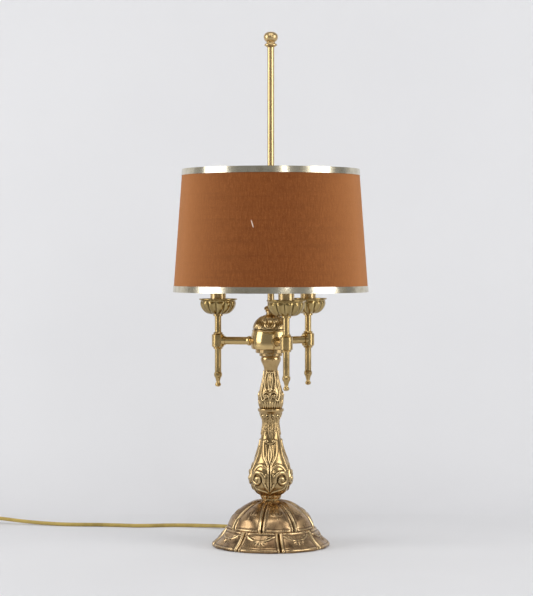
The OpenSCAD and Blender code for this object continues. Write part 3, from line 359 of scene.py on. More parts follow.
def carve(
    bm: bmesh.types.BMesh, skin: Skin, carvings: Sequence[Carving], least: float, bunch: float = 0.0,
    bunch_at: float = 0.0, bunches: int = 1,
) -> np.ndarray:
    """Moves the outside of a turned mesh out to its carving.

    Args:
        bm: the turned mesh, in metres.
        skin: the outline that it was turned from.
        carvings: the reliefs on it.
        least: radius in millimetres below which nothing moves.
        bunch: how far columns are drawn towards the grooves, in degrees.
        bunch_at: azimuth of one groove.
        bunches: grooves round the piece.

    Returns:
        How far each vertex lies above its surroundings, from -1 to 1.
    """
    co = np.array([v.co for v in bm.verts]) / MM
    r, z = np.hypot(co[:, 0], co[:, 1]), co[:, 2]
    turn = np.degrees(np.arctan2(co[:, 1], co[:, 0]))
    if bunch:
        turn = turn - bunch * np.sin(np.radians((turn - bunch_at) * bunches))
    at = skin.nearest(r, z)
    near = np.hypot(r - skin.r[at], z - skin.z[at]) < 0.05
    raised, proud = np.zeros(len(r)), np.zeros(len(r))
    for relief in carvings:
        height, above = relief.sample(turn, skin.run[at])
        raised, proud = raised + height, proud + above
    moves = near & (r > least)
    raised = np.where(moves, raised, 0)
    r, z = r + raised * skin.out_r[at], z + raised * skin.out_z[at]
    a = np.radians(turn)
    for v, x, y, up in zip(bm.verts, r * np.cos(a) * MM, r * np.sin(a) * MM, z * MM):
        v.co = (x, y, up)
    return np.where(moves, proud, 0)


# Node work ------------------------------------------------------------------------------------


class NodeBench:
    """Lays nodes into a tree and joins their sockets."""

    def __init__(self, tree: bpy.types.NodeTree) -> None:
        """Takes the tree to work in."""
        self.tree = tree

    def node(self, kind: str, **values: object) -> bpy.types.Node:
        """Adds a node of a kind, with its properties set."""
        made = self.tree.nodes.new(kind)
        for name, value in values.items():
            setattr(made, name, value)
        return made

    def feed(self, socket: bpy.types.NodeSocket, source: Feed) -> None:
        """Links a socket to another one, or sets it to a constant."""
        if isinstance(source, bpy.types.NodeSocket):
            self.tree.links.new(source, socket)
        elif isinstance(source, (int, float)):
            socket.default_value = source
        else:
            opaque = socket.type == "RGBA" and len(source) == 3
            socket.default_value = (*source, 1.0) if opaque else tuple(source)

    def set(self, node: bpy.types.Node, feeds: dict[str, Feed]) -> None:
        """Feeds a node's inputs by name."""
        for name, source in feeds.items():
            self.feed(node.inputs[name], source)

    def place(self) -> bpy.types.NodeSocket:
        """The piece's own coordinates."""
        return self.node("ShaderNodeTexCoord").outputs["Object"]

    def stretched(self, where: Feed, scale: Sequence[float]) -> bpy.types.NodeSocket:
        """Coordinates scaled by three factors."""
        made = self.node("ShaderNodeMapping")
        self.feed(made.inputs["Vector"], where)
        made.inputs["Scale"].default_value = tuple(scale)
        return made.outputs["Vector"]

    def noise(
        self, where: Feed, scale: Feed, detail: float = 3.0, roughness: float = 0.5, distortion: float = 0.0
    ) -> bpy.types.NodeSocket:
        """A noise of a scale, from about 0.3 to 0.7."""
        made = self.node("ShaderNodeTexNoise")
        self.set(made, {
            "Vector": where, "Scale": scale, "Detail": detail, "Roughness": roughness,
            "Distortion": distortion,
        })
        return made.outputs[0]

    def remap(
        self, value: Feed, low: float, high: float, to_low: Feed = 0.0, to_high: Feed = 1.0
    ) -> bpy.types.NodeSocket:
        """Spreads a value from one range to another, and stops it at the ends.

        Args:
            value: what is spread.
            low: the value that becomes to_low.
            high: the value that becomes to_high.
            to_low: one end of the new range.
            to_high: its other end.

        Returns:
            The spread value.
        """
        made = self.node("ShaderNodeMapRange", clamp=True)
        for socket, source in zip(made.inputs, (value, low, high, to_low, to_high)):
            self.feed(socket, source)
        return made.outputs[0]

    def layered(self, *layers: tuple[Feed, float]) -> bpy.types.NodeSocket:
        """Adds up heights, each by its own weight."""
        total: Feed = 0.0
        for height, weight in layers:
            total = self.sum("ADD", total, self.sum("MULTIPLY", height, weight))
        return total

    def sum(self, operation: str, a: Feed, b: Feed, clamped: bool = False) -> bpy.types.NodeSocket:
        """A sum of two numbers, such as ADD or MULTIPLY."""
        made = self.node("ShaderNodeMath", operation=operation, use_clamp=clamped)
        self.feed(made.inputs[0], a)
        self.feed(made.inputs[1], b)
        return made.outputs[0]

    def blend(self, share: Feed, a: Feed, b: Feed, way: str = "MIX") -> bpy.types.NodeSocket:
        """A mix of two colours by a share."""
        made = self.node("ShaderNodeMix", data_type="RGBA", blend_type=way)
        self.feed(made.inputs[0], share)
        self.feed(made.inputs[6], a)
        self.feed(made.inputs[7], b)
        return made.outputs[2]

    def own(self, name: str) -> bpy.types.NodeSocket:
        """A number that the mesh carries at its vertices."""
        return self.node("ShaderNodeAttribute", attribute_name=name).outputs["Fac"]

    def bump(self, height: Feed, depth_mm: float, strength: float = 1.0) -> bpy.types.NodeSocket:
        """A normal from a height, with its depth in millimetres."""
        made = self.node("ShaderNodeBump")
        self.set(made, {"Strength": strength, "Distance": depth_mm * MM, "Height": height})
        return made.outputs["Normal"]


def effect(
    name: str, inputs: dict[str, Feed], outputs: dict[str, str],
    work: Callable[[NodeBench, dict[str, bpy.types.NodeSocket]], dict[str, Feed]],
) -> bpy.types.NodeTree:
    """Builds a shader node group once.

    Args:
        name: the group's name.
        inputs: its inputs and their defaults, three numbers for a colour.
        outputs: its outputs and their socket types.
        work: lays its nodes, from its input sockets to what feeds its outputs.

    Returns:
        The group.
    """
    if name in bpy.data.node_groups:
        return bpy.data.node_groups[name]
    tree = bpy.data.node_groups.new(name, "ShaderNodeTree")
    for label, value in inputs.items():
        kind = "NodeSocketFloat" if isinstance(value, (int, float)) else "NodeSocketColor"
        socket = tree.interface.new_socket(name=label, in_out="INPUT", socket_type=kind)
        socket.default_value = value if isinstance(value, (int, float)) else (*value, 1.0)
    for label, kind in outputs.items():
        tree.interface.new_socket(name=label, in_out="OUTPUT", socket_type=kind)
    bench = NodeBench(tree)
    start, end = bench.node("NodeGroupInput"), bench.node("NodeGroupOutput")
    made = work(bench, {label: start.outputs[label] for label in inputs})
    for label, source in made.items():
        bench.feed(end.inputs[label], source)
    return tree


def aged_metal() -> bpy.types.NodeTree:
    """The group for cast and turned metal: a polish that is worn unevenly, and dark recesses."""

    def work(bench: NodeBench, given: dict[str, bpy.types.NodeSocket]) -> dict[str, Feed]:
        """Lays the nodes."""
        where = bench.place()
        cloud = bench.noise(where, given["Blotch Scale"], 4.0, 0.6, 0.6)
        fine = bench.noise(where, 420.0, 3.0, 0.6)
        blotch = bench.remap(cloud, 0.44, 0.62)
        speck = bench.remap(bench.noise(where, 900.0, 2.0, 0.5), 0.6, 0.72)
        tone = bench.blend(bench.sum("MULTIPLY", blotch, given["Blotch"]), given["Polished"], given["Aged"])
        stained = bench.blend(bench.sum("MULTIPLY", speck, given["Specks"]), tone, given["Deep"])
        proud = bench.own("proud")
        rubbed = bench.sum("MULTIPLY", bench.remap(proud, 0.06, 0.6), given["Rubbed"])
        stained = bench.blend(rubbed, stained, given["Bright"])
        grime = bench.sum("MULTIPLY", bench.remap(proud, -0.05, -0.7), given["Grime"], clamped=True)
        colour = bench.blend(grime, stained, given["Deep"])
        smear = bench.remap(bench.noise(where, 38.0, 4.0, 0.6, 0.4), 0.36, 0.66)
        rough = bench.sum("ADD", given["Smooth"], bench.sum("MULTIPLY", smear, given["Uneven"]))
        rough = bench.sum("SUBTRACT", rough, bench.sum("MULTIPLY", rubbed, 0.08))
        rough = bench.sum("ADD", rough, bench.sum("MULTIPLY", grime, 0.25), clamped=True)
        height = bench.layered((bench.noise(where, 55.0, 2.0, 0.5), 1.0), (fine, 0.16))
        return {"Color": colour, "Roughness": rough, "Height": height}

    return effect(
        "aged_metal",
        {
            "Bright": (0.85, 0.66, 0.38), "Polished": (0.7, 0.5, 0.25), "Aged": (0.5, 0.33, 0.15),
            "Deep": (0.16, 0.09, 0.03), "Blotch Scale": 30.0, "Blotch": 0.6, "Specks": 0.1, "Rubbed": 0.5,
            "Grime": 0.95, "Smooth": 0.16, "Uneven": 0.14,
        },
        {"Color": "NodeSocketColor", "Roughness": "NodeSocketFloat", "Height": "NodeSocketFloat"},
        work,
    )


def moulded_grain() -> bpy.types.NodeTree:
    """The group for moulded plastic and rubber: a fine pebbled face with slight handling marks."""

    def work(bench: NodeBench, given: dict[str, bpy.types.NodeSocket]) -> dict[str, Feed]:
        """Lays the nodes."""
        where = bench.place()
        pebble = bench.noise(where, 1500.0, 2.0, 0.5)
        handled = bench.remap(bench.noise(where, 70.0, 4.0, 0.6, 0.3), 0.38, 0.66)
        colour = bench.blend(bench.sum("MULTIPLY", handled, 0.5), given["Colour"], given["Worn"])
        rough = bench.sum("ADD", given["Smooth"], bench.sum("MULTIPLY", handled, 0.18))
        return {"Color": colour, "Roughness": rough, "Height": pebble}

    return effect(
        "moulded_grain",
        {"Colour": (0.5, 0.4, 0.15), "Worn": (0.56, 0.46, 0.2), "Smooth": 0.3},
        {"Color": "NodeSocketColor", "Roughness": "NodeSocketFloat", "Height": "NodeSocketFloat"},
        work,
    )


class Lustre(Enum):
    """How a metal takes its polish: (smoothness, unevenness, bump depth in mm)."""

    MIRROR = (0.1, 0.1, 0.02)
    SOFT = (0.25, 0.04, 0.006)
    WORN = (0.15, 0.1, 0.02)
    CAST = (0.19, 0.18, 0.045)
    SATIN = (0.34, 0.16, 0.03)


class Finish:
    """A material, made from what feeds its main shader."""

    name: str

    def mix(self, bench: NodeBench) -> dict[str, Feed]:
        """Lays the finish's nodes, and says what feeds each input of the main shader."""
        raise NotImplementedError

    def build(self) -> bpy.types.Material:
        """Makes the material."""
        material = bpy.data.materials.new(self.name)
        material.use_nodes = True
        bench = NodeBench(material.node_tree)
        bench.set(material.node_tree.nodes["Principled BSDF"], self.mix(bench))
        return material


@dataclass(frozen=True)
class MetalFinish(Finish):
    """Brass, steel or plated metal, with its age."""

    name: str
    polished: Colour
    aged: Colour
    deep: Colour
    lustre: Lustre
    blotch_scale: float = 30.0
    blotch: float = 0.5
    specks: float = 0.08
    bright: Colour = (0.88, 0.68, 0.38)

    def mix(self, bench: NodeBench) -> dict[str, Feed]:
        """Lays the nodes."""
        group = bench.node("ShaderNodeGroup", node_tree=aged_metal())
        smooth, uneven, depth = self.lustre.value
        bench.set(group, {
            "Bright": self.bright, "Polished": self.polished, "Aged": self.aged, "Deep": self.deep,
            "Blotch Scale": self.blotch_scale, "Blotch": self.blotch, "Specks": self.specks,
            "Smooth": smooth, "Uneven": uneven,
        })
        return {
            "Metallic": 1.0,
            "Base Color": group.outputs["Color"],
            "Roughness": group.outputs["Roughness"],
            "Normal": bench.bump(group.outputs["Height"], depth),
        }


@dataclass(frozen=True)
class MouldedFinish(Finish):
    """Plastic, ceramic or rubber from a mould."""

    name: str
    colour: Colour
    worn: Colour
    smooth: float
    grain: float = 0.02
    coat: float = 0.0

    def mix(self, bench: NodeBench) -> dict[str, Feed]:
        """Lays the nodes."""
        group = bench.node("ShaderNodeGroup", node_tree=moulded_grain())
        bench.set(group, {"Colour": self.colour, "Worn": self.worn, "Smooth": self.smooth})
        return {
            "Coat Weight": self.coat,
            "Base Color": group.outputs["Color"],
            "Roughness": group.outputs["Roughness"],
            "Normal": bench.bump(group.outputs["Height"], self.grain),
        }


@dataclass(frozen=True)
class VelvetFinish(Finish):
    """Cotton velvet on card: stroked nap, a faint weave showing through, one pale snag, and a painted sheen
    that lightens the cloth where it turns away from the view.
    """

    name: str = "velvet"
    colour: Colour = (0.19, 0.054, 0.0115)
    stroked: Colour = (0.34, 0.115, 0.03)
    pressed: Colour = (0.155, 0.043, 0.01)
    # The light colour of the nap tips, also used for the painted sheen towards the cloth's edges.
    tip: Colour = (0.58, 0.245, 0.088)
    torn: Colour = (0.78, 0.62, 0.5)

    @staticmethod
    def snag(bench: NodeBench) -> bpy.types.NodeSocket:
        """The mask of a short slanting snag on the front, left of the middle."""
        at = bench.node("ShaderNodeSeparateXYZ")
        bench.feed(at.inputs[0], bench.place())
        up = bench.sum("SUBTRACT", at.outputs["Z"], 0.4915)
        side = bench.sum("ADD", bench.sum("ADD", at.outputs["X"], 0.0272), bench.sum("MULTIPLY", up, 0.28))
        across = bench.remap(bench.sum("ABSOLUTE", side, 0.0), 0.0004, 0.0011, 1.0, 0.0)
        along = bench.remap(bench.sum("ABSOLUTE", up, 0.0), 0.0036, 0.0062, 1.0, 0.0)
        front = bench.remap(at.outputs["Y"], -0.02, 0.0, 1.0, 0.0)
        return bench.sum("MULTIPLY", bench.sum("MULTIPLY", across, along), front)

    def mix(self, bench: NodeBench) -> dict[str, Feed]:
        """Lays the nodes."""
        where = bench.place()
        cloth = bench.node("ShaderNodeTexCoord").outputs["UV"]
        hand = bench.noise(where, 9.0, 4.0, 0.6, 0.2)
        wale = bench.noise(bench.stretched(cloth, (1.0, 0.16, 1)), 430.0, 4.0, 0.75)
        weft = bench.noise(bench.stretched(cloth, (0.035, 1.0, 1)), 170.0, 4.0, 0.7)
        pile = bench.noise(where, 1500.0, 3.0, 0.7)
        tufts = bench.noise(where, 420.0, 4.0, 0.65)
        # Painted sheen: Layer Weight's facing mixes the light tip colour in where the cloth turns away from
        # the view, so the shade is lighter towards its edges.
        rim = bench.node("ShaderNodeLayerWeight")
        rim.inputs["Blend"].default_value = 0.5
        tone: Feed = self.colour
        for by, low, high, most, colour in (
            (hand, 0.40, 0.64, 0.45, self.pressed), (wale, 0.42, 0.66, 0.42, self.stroked),
            (weft, 0.48, 0.68, 0.5, self.pressed), (tufts, 0.5, 0.72, 0.4, self.stroked),
            (pile, 0.56, 0.74, 0.3, self.tip), (rim.outputs["Facing"], 0.02, 0.62, 0.52, self.tip),
        ):
            tone = bench.blend(bench.remap(by, low, high, 0.0, most), tone, colour)
        snag = self.snag(bench)
        height = bench.layered((pile, 1.0), (tufts, 1.2), (wale, 1.2), (weft, 1.2), (snag, -2.0))
        return {
            "Base Color": bench.blend(snag, tone, self.torn),
            "Roughness": bench.remap(tufts, 0.35, 0.65, 0.82, 0.95),
            "Specular IOR Level": 0.15,
            "Sheen Weight": 0.22,
            "Sheen Roughness": 0.35,
            "Sheen Tint": (0.9, 0.55, 0.3),
            "Normal": bench.bump(height, 0.22, 0.7),
        }


@dataclass(frozen=True)
class RibbonFinish(Finish):
    """Metallic edging ribbon: a woven champagne foil with creases."""

    name: str = "trim_ribbon"
    bright: Colour = (0.66, 0.61, 0.48)
    dull: Colour = (0.46, 0.40, 0.28)

    def mix(self, bench: NodeBench) -> dict[str, Feed]:
        """Lays the nodes."""
        where = bench.place()
        crease = bench.noise(bench.stretched(where, (1, 1, 0.25)), 20.0, 2.0, 0.5)
        rubbed = bench.noise(where, 80.0, 4.0, 0.65)
        thread = bench.node("ShaderNodeTexWave", wave_type="BANDS", bands_direction="Z")
        bench.set(thread, {"Vector": where, "Scale": 260.0, "Distortion": 0.4})
        height = bench.layered((crease, 3.0), (thread.outputs["Fac"], 0.1))
        return {
            "Base Color": bench.blend(bench.remap(rubbed, 0.42, 0.7), self.bright, self.dull),
            "Roughness": bench.remap(rubbed, 0.4, 0.68, 0.17, 0.27),
            "Metallic": 1.0,
            "Normal": bench.bump(height, 0.12, 0.6),
        }


@dataclass(frozen=True)
class ClothFinish(Finish):
    """Plain felt, card lining or webbing."""

    name: str
    colour: Colour
    dark: Colour
    fibre: float
    sheen: float = 0.2
    depth: float = 0.12

    def mix(self, bench: NodeBench) -> dict[str, Feed]:
        """Lays the nodes."""
        where = bench.place()
        fibre = bench.noise(where, self.fibre, 4.0, 0.7, 0.3)
        cloud = bench.noise(where, 18.0, 3.0, 0.5)
        tone = bench.blend(bench.remap(fibre, 0.35, 0.68), self.dark, self.colour)
        tone = bench.blend(bench.remap(cloud, 0.4, 0.7, 0.0, 0.25), tone, self.dark)
        return {
            "Base Color": tone,
            "Roughness": bench.remap(fibre, 0.3, 0.7, 0.8, 0.96),
            "Sheen Weight": self.sheen,
            "Normal": bench.bump(fibre, self.depth, 0.6),
        }


@dataclass(frozen=True)
class SheathFinish(Finish):
    """The mains cord's gold sheath, with a faint lay of the cores under it."""

    name: str = "cord_sheath"
    colour: Colour = (0.5, 0.36, 0.09)
    dark: Colour = (0.33, 0.23, 0.05)

    def mix(self, bench: NodeBench) -> dict[str, Feed]:
        """Lays the nodes."""
        where = bench.place()
        soil = bench.noise(where, 30.0, 4.0, 0.6, 0.3)
        grain = bench.noise(where, 1200.0, 2.0, 0.5)
        lay = bench.node("ShaderNodeTexWave", wave_type="BANDS", bands_direction="DIAGONAL")
        bench.set(lay, {"Vector": where, "Scale": 45.0})
        height = bench.layered((lay.outputs["Fac"], 1.4), (grain, 0.25))
        return {
            "Base Color": bench.blend(bench.remap(soil, 0.42, 0.68), self.colour, self.dark),
            "Roughness": bench.remap(soil, 0.35, 0.7, 0.3, 0.45),
            "Normal": bench.bump(height, 0.05, 0.6),
        }


@dataclass(frozen=True)
class GlassFinish(Finish):
    """Clear lamp glass."""

    name: str = "bulb_glass"
    tint: Colour = (0.98, 0.96, 0.9)
    dusty: Colour = (0.9, 0.86, 0.76)

    def mix(self, bench: NodeBench) -> dict[str, Feed]:
        """Lays the nodes."""
        where = bench.place()
        dust = bench.noise(where, 60.0, 4.0, 0.6)
        return {
            "Base Color": bench.blend(bench.remap(dust, 0.45, 0.75, 0.0, 0.3), self.tint, self.dusty),
            "Roughness": bench.remap(dust, 0.4, 0.75, 0.02, 0.12),
            "Transmission Weight": 1.0,
            "IOR": 1.46,
        }


@dataclass(frozen=True)
class PaleFinish(Finish):
    """Matt paint of the studio's floor and backdrop.

    Attributes:
        name: the material's name.
        colour: the paint.
        mottle: its uneven patches.
        scale: scale of the patches.
        one_way: it isn't there from behind, so that the lamp can be seen from there.
    """

    name: str
    colour: Colour
    mottle: Colour
    scale: float
    one_way: bool = False

    def mix(self, bench: NodeBench) -> dict[str, Feed]:
        """Lays the nodes."""
        patches = bench.remap(bench.noise(bench.place(), self.scale, 3.0), 0.35, 0.7)
        feeds = {
            "Base Color": bench.blend(patches, self.colour, self.mottle),
            "Roughness": 0.75,
            "Specular IOR Level": 0.25,
        }
        if self.one_way:
            behind = bench.node("ShaderNodeNewGeometry").outputs["Backfacing"]
            feeds["Alpha"] = bench.sum("SUBTRACT", 1.0, behind)
        return feeds


class FinishCupboard:
    """Every finish of the lamp by its material slot."""

    ARM_PARTS = ("arm", "tee", "uprights", "drop", "cup")

    def __init__(self) -> None:
        """Mixes the finishes."""
        brown = (0.085, 0.045, 0.016)
        worn, satin = Lustre.WORN, Lustre.SATIN
        recipes = (
            MetalFinish(
                "stem_brass", (0.50, 0.35, 0.165), (0.31, 0.205, 0.09), (0.045, 0.027, 0.01), worn, 34.0, 0.8,
                0.14, (0.80, 0.62, 0.34),
            ),
            MetalFinish(
                "arm_brass", (0.56, 0.40, 0.175), (0.36, 0.245, 0.1), (0.07, 0.045, 0.014), worn, 26.0, 0.6,
                0.1, (0.78, 0.61, 0.30),
            ),
            MetalFinish(
                "cup_brass", (0.42, 0.305, 0.125), (0.26, 0.18, 0.07), (0.05, 0.035, 0.01), worn, 26.0, 0.7,
                0.1, (0.80, 0.66, 0.34),
            ),
            MetalFinish("bowl_brass", (0.64, 0.46, 0.21), (0.44, 0.30, 0.13), brown, worn, 24.0, 0.7),
            MetalFinish(
                "polished_brass", (0.58, 0.42, 0.205), (0.48, 0.34, 0.155), brown, Lustre.SOFT, 22.0, 0.35,
                0.02,
            ),
            MetalFinish(
                "base_brass", (0.44, 0.29, 0.15), (0.19, 0.115, 0.062), (0.035, 0.02, 0.01), Lustre.CAST,
                46.0, 0.95, 0.45, (0.86, 0.66, 0.36),
            ),
            MetalFinish("steel", (0.62, 0.62, 0.63), (0.45, 0.45, 0.45), (0.1, 0.09, 0.08), satin, 60.0, 0.4),
            MetalFinish(
                "cast_iron", (0.16, 0.155, 0.15), (0.1, 0.09, 0.085), (0.04, 0.03, 0.025), satin, 90.0, 0.7,
                0.3,
            ),
            MetalFinish("ring_wire", (0.72, 0.57, 0.3), (0.52, 0.38, 0.17), brown, satin, 50.0),
            MetalFinish(
                "cap_metal", (0.74, 0.7, 0.58), (0.55, 0.5, 0.38), (0.1, 0.08, 0.05), satin, 70.0, 0.4
            ),
            MetalFinish(
                "pin_metal", (0.72, 0.70, 0.66), (0.55, 0.53, 0.5), (0.12, 0.1, 0.08), Lustre.MIRROR, 80.0,
                0.3,
            ),
            VelvetFinish(),
            RibbonFinish(),
            ClothFinish("lining", (0.86, 0.76, 0.58), (0.7, 0.58, 0.4), 300.0, 0.05, 0.03),
            ClothFinish("felt", (0.07, 0.1, 0.06), (0.03, 0.045, 0.025), 700.0, 0.3, 0.2),
            ClothFinish("tie_strap", (0.2, 0.16, 0.07), (0.1, 0.08, 0.03), 900.0, 0.2, 0.1),
            SheathFinish(),
            MouldedFinish("gold_plastic", (0.42, 0.3, 0.08), (0.48, 0.35, 0.11), 0.26, 0.015, 0.3),
            MouldedFinish("rocker_plastic", (0.74, 0.64, 0.4), (0.66, 0.55, 0.32), 0.24, 0.01, 0.3),
            MouldedFinish("black_plastic", (0.03, 0.03, 0.03), (0.05, 0.05, 0.05), 0.4),
            MouldedFinish("ceramic", (0.84, 0.82, 0.76), (0.74, 0.71, 0.63), 0.18, 0.02, 0.6),
            MouldedFinish("wire_sheath", (0.28, 0.14, 0.05), (0.34, 0.18, 0.07), 0.4),
            GlassFinish(),
        )
        self.finishes = {recipe.name: recipe.build() for recipe in recipes}

    def on(self, slot: str, body: str, *nodes: str, finish: str = "") -> Placement:
        """Where a piece goes: its slot's own finish, or another that it names."""
        return Placement(body, slot, self.finishes[finish or slot], nodes)

    def dress_frame(self) -> None:
        """Gives every CAD node the finish of its slot, and the arms their own brass."""
        for part in frame["record"]["subparts"]:
            name, slot = part["node"], part["material_slot"]
            on_arms = slot == "stem_brass" and name.split("_")[0] in self.ARM_PARTS
            node = frame["nodes"][name]
            node.data.materials.clear()
            node.data.materials.append(self.finishes["arm_brass" if on_arms else slot])


# The studio -----------------------------------------------------------------------------------


@dataclass
class Studio:
    """The photograph's camera, a pale floor that sweeps up behind the lamp, and soft lamps in front.

    Attributes:
        camera_back: camera's distance in front of the stem's axis.
        camera_up: camera's height.
        lens: focal length in millimetres on a 36 mm sensor.
        shift: how far the lens is shifted sideways and up, in widths of the sensor.
        sweep_at: where the backdrop leaves the floor, behind the lamp.
        sweep_r: radius of its bend.
        lamp_power: watts of each side lamp.
        fill: strength of the room's even light.
    """

    camera_back: float = 3.040
    camera_up: float = 0.4456
    lens: float = 119.6
    shift: tuple[float, float] = (-0.0072, -0.0721)
    sweep_at: float = 0.36
    sweep_r: float = 0.7
    lamp_power: float = 27.0
    fill: float = 0.3

    LAMPS = (
        ("lamp_left", (-2.22, -0.63, 1.0), (1.4, 1.6), 1.0),
        ("lamp_right", (2.14, -1.01, 1.0), (1.3, 1.6), 1.0),
        ("lamp_front", (0.79, -2.64, 1.2), (0.3, 1.0), 0.16),
        ("lamp_top", (0.0, -1.2, 2.6), (2.4, 1.6), 0.9),
    )

    def set_camera(self) -> None:
        """Puts the camera where the photograph was taken from."""
        data = bpy.data.cameras.new("camera")
        data.sensor_width = 36.0
        data.lens = self.lens
        data.shift_x, data.shift_y = self.shift
        data.clip_start, data.clip_end = 0.1, 40.0
        camera = bpy.data.objects.new("camera", data)
        camera.location = (0, -self.camera_back, self.camera_up)
        camera.rotation_euler = (math.radians(90), 0, 0)
        bpy.context.scene.collection.objects.link(camera)
        bpy.context.scene.camera = camera

    def set_sheet(self, name: str, bm: bmesh.types.BMesh, finish: PaleFinish) -> None:
        """Stages one sheet of the room from its mesh, which is freed."""
        mesh = bpy.data.meshes.new(name)
        bm.to_mesh(mesh)
        bm.free()
        mesh.polygons.foreach_set("use_smooth", [True] * len(mesh.polygons))
        mesh.materials.append(finish.build())
        piece = bpy.data.objects.new(name, mesh)
        bpy.context.scene.collection.objects.link(piece)

    def set_room(self) -> None:
        """Lays the floor, and sweeps the backdrop up behind the lamp."""
        floor = bmesh.new()
        bmesh.ops.create_grid(floor, x_segments=1, y_segments=1, size=4.0)
        self.set_sheet("floor", floor, PaleFinish("floor", (0.76, 0.76, 0.77), (0.74, 0.74, 0.75), 3.0))
        sweep = bmesh.new()
        foot = sweep.verts.new((-3.5, self.sweep_at, 0.0006))
        centre = (0, self.sweep_at, self.sweep_r + 0.0006)
        bmesh.ops.spin(sweep, geom=[foot], cent=centre, axis=(1, 0, 0), angle=math.pi / 2, steps=32)
        top = max(sweep.verts, key=lambda v: v.co.z)
        rise = bmesh.ops.extrude_vert_indiv(sweep, verts=[top])["verts"]
        bmesh.ops.translate(sweep, verts=rise, vec=(0, 0, 2.4))
        across = bmesh.ops.extrude_edge_only(sweep, edges=sweep.edges[:])["geom"]
        moved = [v for v in across if isinstance(v, bmesh.types.BMVert)]
        bmesh.ops.translate(sweep, verts=moved, vec=(7.0, 0, 0))
        bmesh.ops.recalc_face_normals(sweep, faces=sweep.faces[:])
        if sum(f.normal.y * f.calc_area() for f in sweep.faces) > 0:
            bmesh.ops.reverse_faces(sweep, faces=sweep.faces[:])
        paint = PaleFinish("backdrop", (0.77, 0.77, 0.78), (0.75, 0.75, 0.762), 2.0, True)
        self.set_sheet("backdrop", sweep, paint)

    def hang_lamp(self, name: str, at: Sequence[float], size: tuple[float, float], power: float) -> None:
        """Hangs one soft lamp that faces the object."""
        data = bpy.data.lights.new(name, "AREA")
        data.shape = "RECTANGLE"
        data.size, data.size_y = size
        data.energy = power
        lamp = bpy.data.objects.new(name, data)
        lamp.location = at
        aim = Vector((0, 0, 0.35)) - Vector(at)
        lamp.rotation_euler = aim.to_track_quat("-Z", "Y").to_euler()
        bpy.context.scene.collection.objects.link(lamp)

    def light(self) -> None:
        """Lights the room: tall soft lamps on both sides, a narrow one in front and a low even fill."""
        for name, at, size, share in self.LAMPS:
            self.hang_lamp(name, at, size, self.lamp_power * share)
        world = bpy.data.worlds.new("room")
        world.use_nodes = True
        bench = NodeBench(world.node_tree)
        background = world.node_tree.nodes["Background"]
        background.inputs["Color"].default_value = (0.96, 0.97, 1.0, 1.0)
        seen = bench.node("ShaderNodeLightPath").outputs["Is Camera Ray"]
        bench.feed(background.inputs["Strength"], bench.remap(seen, 0.0, 1.0, self.fill, 0.78))
        bpy.context.scene.world = world
        bpy.context.scene.view_settings.view_transform = "Standard"


# The mains cord -------------------------------------------------------------------------------


